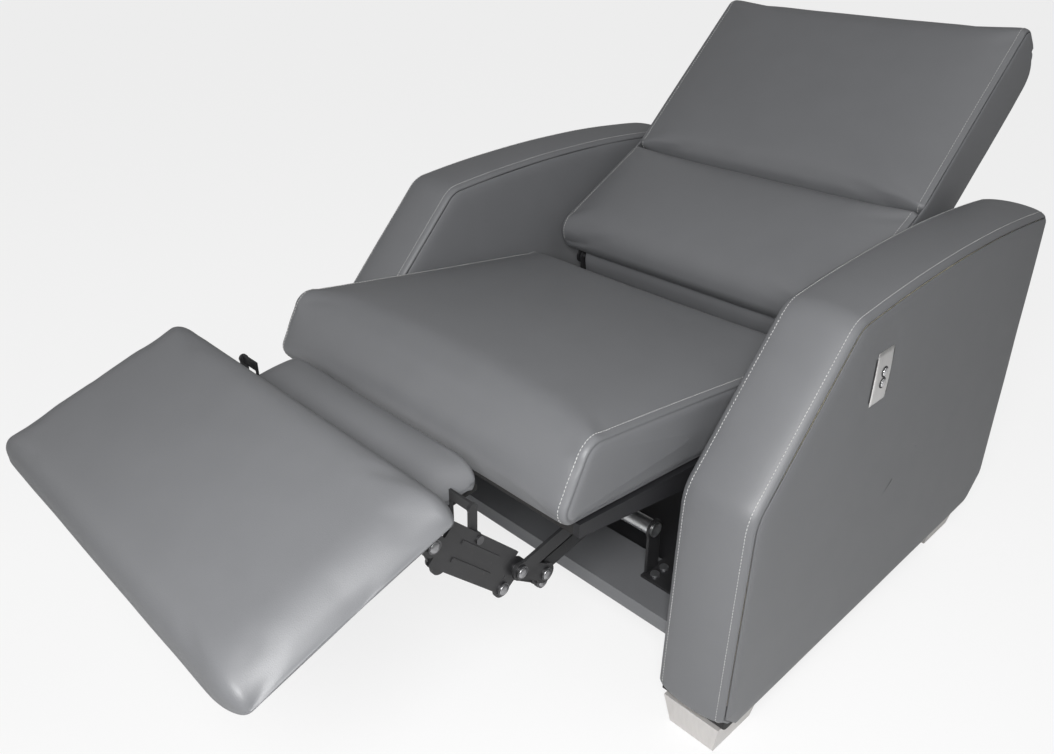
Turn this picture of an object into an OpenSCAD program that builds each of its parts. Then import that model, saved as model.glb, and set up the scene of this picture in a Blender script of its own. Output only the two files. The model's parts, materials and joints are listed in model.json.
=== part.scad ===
// Powered cinema recliner seat, drawn fully reclined with the footrest out.
// Millimetres, +Z up. The sitter faces -Y, so the sitter's left is +X.
// Left pieces are drawn and the right ones are their mirror images.

/* [Arms] */
// Clear width between the two arms
seat_gap = 600; // [560:1:660]
// Thickness of one arm
arm_t = 108; // [90:1:140]
// Height of the arms' lower edge above the floor
arm_base_z = 50; // [35:1:70]
// Height of the front knuckle where the slope starts
arm_knee_z = 380; // [340:1:400]
// Height of the arm's top line at its ends
arm_top_z = 571; // [540:1:590]
// Rise of the convex top line at its middle
arm_top_rise = 14; // [4:1:25]
// Thickness of the padded band that wraps the front and top
band_t = 16; // [10:1:22]
// Thickness of the padded skin on each face
skin_t = 6; // [4:1:10]
// Thickness of the plywood board in the arm
board_t = 18; // [12:1:24]

/* [Feet and rails] */
// Width of a foot across the arm
foot_w = 86; // [60:1:96]
// Length of a foot along the arm
foot_len = 100; // [60:1:120]
// Draft of the foot's sides from top to bottom
foot_draft = 8; // [2:1:14]
// Depth of the wooden rails along Y
rail_w = 92; // [70:1:110]
// Thickness of the wooden rails
rail_t = 18; // [14:1:22]
// Height of the rails' top face
rail_top_z = 147; // [141:1:149]

/* [Seat] */
// Half width of the seat cushion
seat_half_w = 283; // [270:1:290]
// Half width of the back
back_half_w = 276; // [260:1:280]
// Half width of the footrest
rest_half_w = 280; // [250:1:288]
// Half width of the small flap between seat and footrest
flap_half_w = 192; // [150:1:196]
// Crown of the seat cushion at its middle
seat_crown = 12; // [4:1:20]
// Length of the lumbar face
lumbar_len = 236; // [220:1:250]
// Length of the upper back face
upper_len = 354; // [300:1:380]
// Depth of the lumbar cushion
lumbar_d = 60; // [50:1:66]
// Depth of the upper back, cushion and frame
upper_d = 97; // [80:1:100]
// Length of the footrest from rear to front
rest_len = 258; // [220:1:266]
// Thickness of the footrest, board and pad
rest_t = 49; // [45:1:60]

/* [Mechanism] */
// Thickness of the steel links and plates
plate_t = 4; // [3:0.5:4]
// Length of the parallel links, pivot to pivot
link_len = 150; // [146:1:153]
// Width of the links
link_w = 22; // [18:1:24]
// Width of the ribbed carrier plate
carrier_w = 50; // [36:1:52]
// Radius of the rivets' shanks
rivet_r = 5; // [4:0.5:5]
// Travel of the seat along its tracks
travel = 126; // [110:1:130]
// Radius of the steel cross tubes
tube_r = 11; // [8:1:12]
// Radius of the actuator's rod
rod_r = 10; // [8:1:12]

/* [Switch] */
// Width of the switch plate
switch_w = 39; // [34:1:50]
// Height of the switch plate
switch_h = 73; // [60:1:90]
// Radius of the two push buttons
button_r = 5.5; // [4:0.5:6]
// How far a button stands out, which is also what it can travel into
button_out = 2.4; // [2:0.2:3]

/* [Hidden] */
$fn = 48;
// Width of a bar's neck against its eyes
neck_share = 0.84;
// One overrun for all cuts
cut = 2;
// Running clearance between a rivet's shank and its hole
fit = 0.05;
// Gap that keeps neighbours on different bodies apart
gap = 0.3;
// Side play of stacked plates
play = 0.15;

// Colours
vinyl = "dimgray";
foam_c = "khaki";
wood_c = "burlywood";
steel_c = "#2b2b2e";
zinc_c = "silver";
plastic_c = "#202022";

// Places across the chair
arm_in_x = seat_gap / 2;
arm_out_x = arm_in_x + arm_t;

// Side view of the arm
arm_front_y = -190;
arm_knee_y = -180;
arm_shoulder_y = 0;
arm_rear_top_y = 570;
arm_rear_y = 594;
knee_r = 60;
shoulder_r = 50;
toe_r = 14;
heel_r = 38;
tail_r = 22;
arm_steps = 10;

// Rails
front_rail_y = -153;
rear_rail_y = 480;
wrap_t = 2;
rail_lip = 3;

// Layers of the mechanism across the chair, inboard faces
pitch = 2 * plate_t;
plate_x = 236;
link_x = plate_x + pitch;
inner_x = plate_x - pitch;
steer_x = inner_x - pitch;
strap_t = 3;

// Pivots in side view as [y, z]
knee_p = [-377, 338];
elbow_step = [46, -34];
stop_in = 21;
stop_drop = 16;
crank_step = [1, -17];
link_deg = 12;
link_step = link_len * [cos(link_deg), sin(link_deg)];
elbow_p = knee_p + elbow_step;
crank_p = elbow_p + crank_step;
front_pivot = knee_p + link_step;
rear_pivot = elbow_p + link_step;
toe_pivot = [-487, 430];
steer_step = [13, -36];
steer_pivot = toe_pivot + steer_step;
back_pivot = [252, 401];
stop_p = knee_p + [-stop_in, -stop_drop];
strap_p = [-429, 406];
strap_top = [-428, 440];
steer_pin_r = 3.5;
steer_slop = 0.9;
boss_r = 13;
eye_w = 17;
head_r = 8;
head_t = 2.5;
collar_r = 7;

// Seat
seat_front_y = -309;
seat_top_z = 490;
seat_rear_y = 172;
seat_rear_z = 425;
seat_low_y = -336;
seat_low_z = 391;
seat_bulge_y = -352;
seat_bulge_z = 408;
seat_floor_z = 344;
seat_low_r = 15;
seat_tail_r = 24;
seat_nose_r = 30;
seat_bulge_r = 20;
seat_swell = 4;
side_board_x = 254;
side_board_t = 18;
side_low_z = 332;
side_mid_y = -150;
side_mid_z = 348;
side_bend_y = -60;
side_drop = 14;
hem = 3;
deck_t = 12;
deck_half_w = 220;

// Back faces: start of each face and its slope
lumbar_p = [209, 463];
lumbar_deg = 27.2;
upper_p = [424, 571];
upper_deg = 41.8;
back_board_x = link_x + plate_t;
back_board_t = 16;
back_frame_d = 26;
back_low_r = 14;
back_top_r = 24;
back_end_r = 14;
back_swell = 3;
lumbar_nose_r = 30;
lumbar_crown = 16;
upper_crown = 14;
fold_gap = 8;
fold_r = 12;
fold_start = -1;
panel_short = 20;
skirt_low_z = 366;
back_rail_w = 50;
rail_end = 6;
panel_t = 6;

// Footrest and flap
rest_rear = [-487, 511];
rest_deg = 18.6;
rest_board_t = 12;
rest_board_in = 32;
rest_low_r = 12;
rest_top_r = 20;
rest_end_r = 16;
rest_crown = 6;
rest_lip = 2;
rest_flange_t = 3;
flap_rear = [-378, 453];
flap_deg = 7;
flap_len = 78;
flap_t = 36;
flap_board_t = 9;
flap_draw = 1;
flap_low_r = 8;
flap_top_r = 14;
flap_crown = 5;

// Base angles, tracks and cross tubes
angle_t = 4;
angle_x = 210;
angle_w = 56;
angle_front_y = -112;
angle_rear_y = 560;
track_gap = 1;
track_x = plate_x + plate_t + track_gap;
track_wall = 3;
track_h = 23;
track_front_y = -66;
bar_front_y = -60;
bar_len = 246;
bar_h = 16;
bar_w = 16;
leg_rear_y = 176;
leg_front_y = -56;
leg_slope = 20;
arch_z = 300;
tail_z = 300;
tail_up = 45;
notch_z = 322;
plate_top_z = 341;
plate_bend_y = -20;
window_a_y = -24;
window_b_y = 140;
window_low_z = 220;
window_top_z = 300;
front_tube_y = -92;
front_tube_z = 222;
upright_t = 4;
upright_w = 30;
tube_half_w = angle_x + upright_t + cut;
rear_tube_y = 452;
drive_z = 268;

// Actuator along the middle
bracket_y = -100;
bracket_t = 14;
rod_front_y = bracket_y + bracket_t;
drive_tube_y = bracket_y + bracket_t + travel + rail_lip;
drive_tube_s = 32;
gearbox_len = 62;
clevis_reach = 51;
gearbox_s = 70;
motor_r = 32;
motor_len = 118;

// Helpers
module at_right() { mirror([1, 0, 0]) children(); }
module both() { children(); at_right() children(); }
// A side view shape made thick along X from x0
module side(x0, t) {
    translate([x0, 0, 0]) rotate([90, 0, 90]) linear_extrude(t) children();
}
module pin_x(p, x0, len, r) {
    translate([x0, p[0], p[1]]) rotate([0, 90, 0]) cylinder(h = len, r = r);
}
// Flat bar between two round eyes, a little narrower than them
module bar2d(a, b, w) {
    v = b - a;
    translate(a) circle(w / 2);
    translate(b) circle(w / 2);
    translate(a) rotate(atan2(v[1], v[0])) translate([0, -w * neck_share / 2]) square([norm(v), w * neck_share]);
}
// Rivet through a stack that runs from x0 to x1, with a washer in the middle space
module rivet(p, x0, x1, r = rivet_r) {
    pin_x(p, x0 - head_t - play, x1 - x0 + 2 * (head_t + play), r);
    pin_x(p, x0 - head_t - play, head_t, head_r);
    pin_x(p, x1 + play, head_t, head_r);
    pin_x(p, x0 + plate_t + play, x1 - x0 - 2 * plate_t - 2 * play, collar_r);
}
module hole(p, r = rivet_r + fit) { translate(p) circle(r); }

// Rounded convex outline in side view. Corners are [y, z, radius, crown of the next side], anticlockwise.
function unit(v) = v / norm(v);
function out_n(a, b) = [unit(b - a)[1], -unit(b - a)[0]];
function pt(c) = [c[0], c[1]];
// Least corner radius that an inset leaves
least_r = 2;
function corner_mid(a, p, b, r) =
    let (na = out_n(a, p), nb = out_n(p, b)) p - (na + nb) * r / (1 + na * nb);
function arc_turn(na, nb) = atan2(na[0] * nb[1] - na[1] * nb[0], na * nb);
function outline(cs, inset, swell, n_arc, n_edge) =
    let (n = len(cs))
    [for (i = [0 : n - 1])
        let (
            a = pt(cs[(i + n - 1) % n]), p = pt(cs[i]), b = pt(cs[(i + 1) % n]), e = pt(cs[(i + 2) % n]),
            r = max(cs[i][2], inset + least_r), r2 = max(cs[(i + 1) % n][2], inset + least_r), na = out_n(a, p), nb = out_n(p, b), ne = out_n(b, e),
            c = corner_mid(a, p, b, r), c2 = corner_mid(p, b, e, r2), turn = arc_turn(na, nb),
            start = c + nb * (r - inset), stop = c2 + nb * (r2 - inset)
        )
        each concat(
            [for (k = [0 : n_arc])
                let (w = atan2(na[1], na[0]) + turn * k / n_arc) c + (r - inset) * [cos(w), sin(w)]],
            [for (k = [1 : n_edge - 1])
                let (t = k / n_edge) start + (stop - start) * t + nb * (cs[i][3] * swell * 4 * t * (1 - t))]
        )
    ];

function middle(ps) = [for (k = [0 : 2]) [for (p = ps) p[k]] * [for (p = ps) 1] / len(ps)];

// Padded form: the outline carried across X, rounded at its ends and drawn in between its corners
// It is turned up by an angle and set at a place in side view
module pad(cs, half_w, end_r, draw, at = [0, 0], deg = 0, n_arc = 4, n_edge = 6, n_end = 3, n_mid = 6) {
    left = [for (k = [0 : n_end]) let (w = 90 * k / n_end) [-half_w + end_r * (1 - cos(w)), end_r * (1 - sin(w))]];
    mid = [for (k = [1 : n_mid - 1]) [(-half_w + end_r) + 2 * (half_w - end_r) * k / n_mid, 0]];
    right = [for (k = [n_end : -1 : 0]) [-left[k][0], left[k][1]]];
    stations = concat(left, mid, right);
    lo = min([for (c = cs) c[0]]);
    hi = max([for (c = cs) c[0]]);
    rings = [for (s = stations)
        let (swell = 1 - pow(s[0] / half_w, 2))
        [for (q = outline(cs, s[1], swell, n_arc, n_edge))
            let (t = (q[0] - lo) / (hi - lo), pull = 1 - draw / half_w * max(0, 4 * t * (1 - t)))
            [s[0] * pull, at[0] + q[0] * cos(deg) - q[1] * sin(deg), at[1] + q[0] * sin(deg) + q[1] * cos(deg)]]];
    m = len(rings[0]);
    n = len(rings);
    walls = [for (i = [0 : n - 2], j = [0 : m - 1])
        let (a = i * m + j, b = i * m + (j + 1) % m, c = a + m, d = b + m) each [[a, d, b], [a, c, d]]];
    caps = [for (j = [0 : m - 1]) let (k = (j + 1) % m, last = (n - 1) * m)
        each [[n * m, j, k], [n * m + 1, last + k, last + j]]];
    points = concat([for (r = rings) each r], [middle(rings[0]), middle(rings[n - 1])]);
    polyhedron(points = points, faces = concat(walls, caps), convexity = 4);
}

// Arm outline in side view, drawn in by a distance
arm_corners = [
    [arm_front_y + tail_r, arm_base_z, toe_r, 0],
    [arm_rear_y - heel_r, arm_base_z, heel_r, 0],
    [arm_rear_y, arm_base_z + heel_r, heel_r, 0],
    [arm_rear_top_y, arm_top_z, tail_r, arm_top_rise],
    [arm_shoulder_y, arm_top_z, shoulder_r, 0],
    [arm_knee_y, arm_knee_z, knee_r, 0],
    [arm_front_y, arm_base_z + tail_r, toe_r, 0]
];
module arm2d(inset) { polygon(outline(arm_corners, inset, 1, arm_steps, arm_steps)); }
// The band wraps the front, the top and the rear, and the bottom stays bare
module band_zone2d() {
    difference() {
        arm2d(0);
        arm2d(band_t);
        bare_base2d();
    }
}
module bare_base2d() {
    translate([arm_front_y + band_t, arm_base_z - cut])
        square([arm_rear_y - heel_r - arm_front_y - band_t, band_t + cut]);
}
core_w = arm_t - 2 * skin_t;
foam_w = core_w - board_t;
sill_h = 46;
module arm_core2d(y0, y1, z0, z1) {
    intersection() {
        difference() {
            arm2d(0);
            band_zone2d();
        }
        translate([y0, z0]) square([y1 - y0, z1 - z0]);
    }
}
arm_high_z = arm_top_z + arm_top_rise + cut;
module arm_board() {
    color(wood_c) side(arm_in_x + skin_t, board_t)
        arm_core2d(arm_front_y - cut, arm_rear_y + cut, arm_base_z, arm_high_z);
}
lead_r = 2.5;
lead_clear = 6;
box_w = 46;
box_h = 60;
box_d = 30;
module arm_foam(holed = false) {
    color(foam_c) difference() {
        side(arm_in_x + skin_t + board_t, foam_w)
            arm_core2d(arm_front_y - cut, arm_rear_y + cut, arm_base_z + sill_h, arm_high_z);
        if (holed) {
            translate([arm_out_x - skin_t - box_d, switch_y - box_w / 2, switch_z - box_h / 2])
                cube([box_d + cut, box_w, box_h]);
            translate([arm_out_x - skin_t - box_d / 2 - lead_clear, switch_y - lead_clear, lead_z - lead_clear])
                cube([2 * lead_clear, 2 * lead_clear, switch_z - lead_z]);
            translate([arm_in_x, switch_y - lead_clear, lead_z - lead_clear])
                cube([arm_t - skin_t - box_d / 2, 2 * lead_clear, 2 * lead_clear]);
        }
    }
}
module arm_sill() {
    color(wood_c) side(arm_in_x + skin_t + board_t, foam_w)
        arm_core2d(arm_front_y - cut, arm_rear_y + cut, arm_base_z, arm_base_z + sill_h);
}
crown_bulge = 10;
crown_steps = 8;
// Padded band, thicker in the middle of the arm than at its two seams
module arm_band() {
    color(vinyl) difference() {
        union() for (k = [0 : crown_steps - 1]) {
            u = (k + 0.5) / crown_steps;
            lift = crown_bulge * (1 - 4 * u * (1 - u));
            side(arm_in_x + arm_t * k / crown_steps, arm_t / crown_steps) arm2d(lift * crown_share);
        }
        side(arm_in_x - cut, arm_t + 2 * cut) arm2d(band_t);
        side(arm_in_x - cut, arm_t + 2 * cut) bare_base2d();
    }
}
crown_share = 0.7;
module arm_skin(x0) {
    color(vinyl) side(x0, skin_t) arm_core2d(arm_front_y - cut, arm_rear_y + cut, arm_base_z, arm_high_z);
}
module left_arm_board() { arm_board_drilled(); }
module right_arm_board() { at_right() arm_board(); }
module arm_board_drilled() {
    difference() {
        arm_board();
        pin_x([switch_y, lead_z], arm_in_x, arm_t, lead_clear);
    }
}
module left_arm_foam() { arm_foam(true); }
module right_arm_foam() { at_right() arm_foam(); }
module arm_sills() { both() arm_sill(); }
module left_arm_band() { arm_band(); }
module right_arm_band() { at_right() arm_band(); }
module left_outer_skin() {
    difference() {
        arm_skin(arm_out_x - skin_t);
        translate([arm_out_x - skin_t - cut, switch_y - box_w / 2, switch_z - box_h / 2])
            cube([skin_t + 2 * cut, box_w, box_h]);
    }
}
module right_outer_skin() { at_right() arm_skin(arm_out_x - skin_t); }
module left_inner_skin() {
    difference() {
        arm_skin(arm_in_x);
        pin_x([switch_y, lead_z], arm_in_x - cut, arm_t, lead_clear);
    }
}
module right_inner_skin() { at_right() arm_skin(arm_in_x); }

// Feet, inset under the ends of both arms
foot_mid_x = arm_in_x + arm_t / 2;
foot_front_in = 64;
foot_rear_in = 110;
foot_front_y = arm_front_y + foot_front_in;
foot_rear_y = arm_rear_y - foot_rear_in;
foot_places = [[foot_mid_x, foot_front_y], [foot_mid_x, foot_rear_y], [-foot_mid_x, foot_front_y],
    [-foot_mid_x, foot_rear_y]];
screw_r = 4;
screw_up = 26;
foot_recess = 12;
foot_edge = 1;
module foot_form() {
    low_w = foot_w - 2 * foot_draft;
    low_l = foot_len - 2 * foot_draft;
    difference() {
        hull() {
            translate([-low_w / 2, -low_l / 2, 0]) cube([low_w, low_l, foot_edge]);
            translate([-foot_w / 2, -foot_len / 2, arm_base_z - foot_edge]) cube([foot_w, foot_len, foot_edge]);
        }
        for (s = [-1, 1]) translate([0, s * foot_len / 4, -cut]) {
            cylinder(h = arm_base_z + 2 * cut, r = screw_r + gap);
            cylinder(h = foot_recess + cut, r = 2 * screw_r);
        }
    }
}
module feet() { color(zinc_c) for (p = foot_places) translate([p[0], p[1], 0]) foot_form(); }
module foot_screws() {
    color(zinc_c) for (p = foot_places, s = [-1, 1]) translate([p[0], p[1] + s * foot_len / 4, 0]) {
        translate([0, 0, foot_recess]) cylinder(h = arm_base_z - foot_recess + screw_up, r = screw_r);
        translate([0, 0, foot_recess - screw_r]) cylinder(h = screw_r, r = 1.7 * screw_r);
    }
}

// Wooden rails between the arms
module rail_block(y0) {
    translate([-arm_in_x, y0, rail_top_z - rail_t]) cube([seat_gap, rail_w, rail_t]);
}
module front_rail() { color(wood_c) rail_block(front_rail_y); }
module front_rail_wrap() {
    color(vinyl) difference() {
        translate([-arm_in_x, front_rail_y - wrap_t, rail_top_z - rail_t - wrap_t])
            cube([seat_gap, rail_w + wrap_t, rail_t + 2 * wrap_t]);
        translate([-arm_in_x - cut, front_rail_y, rail_top_z - rail_t])
            cube([seat_gap + 2 * cut, rail_w + cut, rail_t]);
    }
}
module rear_rail() { color(wood_c) rail_block(rear_rail_y); }
corner_w = 40;
corner_leg = 34;
// Steel angle that ties a rail to an arm, one under each rail end
module rail_bracket(y_mid) {
    z0 = rail_top_z - rail_t - wrap_t;
    translate([arm_in_x - corner_leg, y_mid - corner_w / 2, z0 - angle_t]) cube([corner_leg, corner_w, angle_t]);
    translate([arm_in_x - angle_t, y_mid - corner_w / 2, z0 - corner_leg]) cube([angle_t, corner_w, corner_leg]);
}
module rail_brackets() {
    color(zinc_c) both() {
        rail_bracket(front_rail_y + rail_w / 2);
        translate([0, 0, wrap_t]) rail_bracket(rear_rail_y + rail_w / 2);
    }
}

// Base of the mechanism: a steel angle each side on the two rails
angle_z = rail_top_z + wrap_t;
screw_in = 14;
screw_step = 20;
base_screw_places = [angle_front_y + screw_in, angle_front_y + screw_in + screw_step,
    angle_rear_y - screw_in - screw_step, angle_rear_y - screw_in];
base_screw_x = angle_x + screw_in;
module base_angle() {
    color(steel_c) difference() {
        union() {
            translate([angle_x, angle_front_y, angle_z])
                cube([angle_w, angle_rear_y - angle_front_y, angle_t]);
            // The rear rail has no wrap, so a foot fills the height of the wrap
            translate([angle_x, rear_rail_y, rail_top_z]) cube([angle_w, angle_rear_y - rear_rail_y, wrap_t]);
            upright(front_tube_y, front_tube_z);
            upright(rear_tube_y, drive_z);
        }
        pin_x([front_tube_y, front_tube_z], 0, arm_in_x, tube_r);
        pin_x([rear_tube_y, drive_z], 0, arm_in_x, tube_r);
        for (y = base_screw_places) translate([base_screw_x, y, 0]) cylinder(h = angle_z + arm_in_x, r = screw_r);
    }
}
module upright(y, z) {
    side(angle_x, upright_t) {
        translate([y, z]) circle(upright_w / 2);
        translate([y - upright_w * neck_share / 2, angle_z]) square([upright_w * neck_share, z - angle_z]);
    }
}
module base_angles() { both() base_angle(); }
module base_screws() {
    color(zinc_c) both() for (y = base_screw_places) translate([base_screw_x, y, rail_top_z - rail_t / 2]) {
        cylinder(h = rail_t / 2 + wrap_t + angle_t, r = screw_r);
        translate([0, 0, rail_t / 2 + wrap_t + angle_t]) cylinder(h = screw_r * 0.7, r = 1.6 * screw_r);
    }
}

// Channel track that guides the slide bar, open towards the middle of the chair
track_z = angle_z + angle_t;
track_len = bar_len + travel + 2 * (bar_front_y - track_front_y);
bar_z = track_z + (track_h - bar_h) / 2;
module track() {
    color(zinc_c) difference() {
        translate([track_x, track_front_y, track_z]) cube([bar_w + track_wall + track_gap, track_len, track_h]);
        translate([track_x - cut, track_front_y - cut, bar_z - gap])
            cube([bar_w + cut + gap, track_len + 2 * cut, bar_h + 2 * gap]);
    }
}
module tracks() { both() track(); }

module cross_tube(y, z) {
    translate([0, y, z]) rotate([0, 90, 0]) difference() {
        translate([0, 0, -tube_half_w]) cylinder(h = 2 * tube_half_w, r = tube_r);
        translate([0, 0, -tube_half_w - cut]) cylinder(h = 2 * tube_half_w + 2 * cut, r = tube_r - track_wall / 2);
    }
}
module cross_tubes() {
    color(zinc_c) {
        cross_tube(front_tube_y, front_tube_z);
        cross_tube(rear_tube_y, drive_z);
    }
}

// Actuator: the tube, gearbox and motor stay with the base and the rod pushes the seat
gearbox_y = rear_tube_y - clevis_reach - gearbox_len;
drive_tube_len = gearbox_y - drive_tube_y;
module actuator_tube() {
    color(zinc_c) difference() {
        translate([-drive_tube_s / 2, drive_tube_y, drive_z - drive_tube_s / 2])
            cube([drive_tube_s, drive_tube_len, drive_tube_s]);
        translate([0, drive_tube_y - cut, drive_z]) rotate([-90, 0, 0])
            cylinder(h = drive_tube_len + 2 * cut, r = rod_r + fit);
    }
}
clevis_w = 30;
module gear_housing() {
    rear_y = gearbox_y + gearbox_len;
    color(plastic_c) difference() {
        union() {
            translate([-gearbox_s / 2, gearbox_y, drive_z - gearbox_s / 2]) cube([gearbox_s, gearbox_len, gearbox_s]);
            translate([-clevis_w / 2, rear_y, drive_z - tube_r - track_wall * 2])
                cube([clevis_w, rear_tube_y - rear_y, 2 * (tube_r + track_wall * 2)]);
            pin_x([rear_tube_y, drive_z], -clevis_w / 2, clevis_w, tube_r + 2 * track_wall);
        }
        pin_x([rear_tube_y, drive_z], -arm_in_x, seat_gap, tube_r);
        translate([0, gearbox_y - cut, drive_z]) rotate([-90, 0, 0]) cylinder(h = gearbox_len, r = rod_r + fit);
    }
}
module motor() {
    color(steel_c) translate([gearbox_s / 2, gearbox_y + gearbox_len / 2, drive_z]) rotate([0, 90, 0]) {
        cylinder(h = motor_len, r = motor_r * 0.95);
        translate([0, 0, motor_len]) cylinder(h = track_wall, r = motor_r * 0.5);
    }
}
inlet_s = 34;
module power_inlet() {
    color(plastic_c) translate([gearbox_s, rear_rail_y + rail_w / 2, rail_top_z]) difference() {
        cube([inlet_s, rail_w / 2, inlet_s * 0.7]);
        translate([inlet_s / 2, rail_w / 2 + cut, inlet_s * 0.35]) rotate([90, 0, 0]) cylinder(h = rail_w / 4, r = 2 * lead_r);
    }
}

// Switch in the left arm's outer face
switch_y = 72;
switch_z = 472;
plate_out = 1.6;
button_step = 15;
button_len = 14;
module switch_box() {
    color(plastic_c) translate([arm_out_x - skin_t - box_d, switch_y - box_w / 2, switch_z - box_h / 2]) difference() {
        cube([box_d + skin_t, box_w, box_h]);
        for (s = [-1, 1]) translate([0, box_w / 2, box_h / 2 + s * button_step / 2]) rotate([0, 90, 0])
            translate([0, 0, box_d + skin_t - button_len]) cylinder(h = button_len + cut, r = button_r + fit);
    }
}
module switch_plate() {
    color(zinc_c) side(arm_out_x, plate_out) difference() {
        polygon(outline([
            [switch_y - switch_w / 2, switch_z - switch_h / 2, screw_r, 0],
            [switch_y + switch_w / 2, switch_z - switch_h / 2, screw_r, 0],
            [switch_y + switch_w / 2, switch_z + switch_h / 2, screw_r, 0],
            [switch_y - switch_w / 2, switch_z + switch_h / 2, screw_r, 0]], 0, 0, 4, 1));
        for (s = [-1, 1]) translate([switch_y, switch_z + s * button_step / 2]) circle(button_r + fit);
    }
}
module button(s) {
    base = button_out + gap;
    color(plastic_c) pin_x([switch_y, switch_z + s * button_step / 2], arm_out_x - button_len + base,
        button_len - base + plate_out + button_out, button_r);
}
module open_button() { button(1); }
module close_button() { button(-1); }

// Lead from the switch box through the arm and along the base to the motor's gearbox
lead_z = 250;
lead_drop_x = arm_out_x - skin_t - box_d / 2;
plug_in = 19;
motor_mid_y = gearbox_y + gearbox_len / 2;
motor_end_x = gearbox_s / 2 + motor_len + gap;
lead_pts = [
    [lead_drop_x, switch_y, switch_z - box_h / 2], [lead_drop_x, switch_y, 350], [lead_drop_x, switch_y, 266],
    [384, switch_y, 255], [374, switch_y, lead_z], [340, switch_y, lead_z],
    [298, 72, 250], [289, 79, 250], [286, 92, 250], [286, 200, 250], [286, 330, 250], [284, 360, 250],
    [274, 376, 252], [240, 387, 262], [motor_end_x + plug_in, motor_mid_y + plug_in, drive_z],
    [motor_end_x, motor_mid_y + plug_in, drive_z]
];
function ring_dir(ps, i) = unit(ps[min(i + 1, len(ps) - 1)] - ps[max(i - 1, 0)]);
function ring_side(d) = abs(d[2]) > 0.9 ? unit(cross([1, 0, 0], d)) : unit(cross(d, [0, 0, 1]));
module swept_tube(ps, r, sides) {
    rings = [for (i = [0 : len(ps) - 1])
        let (d = ring_dir(ps, i), a = ring_side(d), b = cross(d, a))
        [for (k = [0 : sides - 1]) ps[i] + r * (cos(360 * k / sides) * a + sin(360 * k / sides) * b)]];
    n = len(rings);
    walls = [for (i = [0 : n - 2], k = [0 : sides - 1])
        let (a = i * sides + k, b = i * sides + (k + 1) % sides, c = a + sides, d = b + sides)
        each [[a, d, b], [a, c, d]]];
    caps = [[for (k = [0 : sides - 1]) k], [for (k = [sides - 1 : -1 : 0]) (n - 1) * sides + k]];
    polyhedron(points = [for (r = rings) each r], faces = concat(walls, caps), convexity = 6);
}
module switch_lead() { color(plastic_c) swept_tube(lead_pts, lead_r, 8); }

// Seat carriage. The cushion's underside and the frame share one sloping line.
function under_z(y) = seat_low_z + (seat_floor_z - seat_low_z) * (y - seat_low_y) / (seat_rear_y - seat_low_y);
seat_corners = [
    [seat_low_y, seat_low_z, seat_low_r, 0], [seat_rear_y, seat_floor_z, seat_low_r, 0],
    [seat_rear_y, seat_rear_z, seat_tail_r, seat_crown], [seat_front_y, seat_top_z, seat_nose_r, seat_swell],
    [seat_bulge_y, seat_bulge_z, seat_bulge_r, 0]
];
seat_end_r = 12;
seat_draw = 3;
module seat_cushion() { color(vinyl) pad(seat_corners, seat_half_w, seat_end_r, seat_draw); }
rail_inset = 14;
frame_front_y = seat_low_y + rail_inset;
cross_h = 18;
cross_w = 26;
mid_rail_y = bracket_y - (cross_w - bracket_t) / 2;
module seat_frame() {
    rear_y = seat_rear_y - hem;
    color(wood_c) {
        difference() {
            both() side(side_board_x, side_board_t) polygon([
                [frame_front_y, under_z(frame_front_y) - cross_h], [side_mid_y, side_mid_z], [side_bend_y, side_low_z],
                [rear_y, side_low_z - side_drop],
                [rear_y, under_z(rear_y) - gap], [frame_front_y, under_z(frame_front_y) - gap]]);
        }
        for (y = [frame_front_y, mid_rail_y, rear_y - cross_w])
            translate([-side_board_x, 0, 0]) side(0, 2 * side_board_x) polygon([
                [y, under_z(y) - cross_h], [y + cross_w, under_z(y + cross_w) - cross_h],
                [y + cross_w, under_z(y + cross_w) - gap], [y, under_z(y) - gap]]);
    }
}
strap_n = 5;
strap_w = 56;
web_t = 2;
// Elastic webbing straps between the cross rails, just under the cushion
module seat_deck() {
    y0 = frame_front_y + cross_w;
    y1 = seat_rear_y - hem - cross_w;
    step = 2 * deck_half_w / strap_n;
    color("dimgray") for (k = [0 : strap_n - 1], span = [[y0, mid_rail_y], [mid_rail_y + cross_w, y1]])
        side(-deck_half_w + step * k + (step - strap_w) / 2, strap_w) polygon([
            [span[0], under_z(span[0]) - gap - web_t], [span[1], under_z(span[1]) - gap - web_t],
            [span[1], under_z(span[1]) - gap], [span[0], under_z(span[0]) - gap]]);
}
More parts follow.
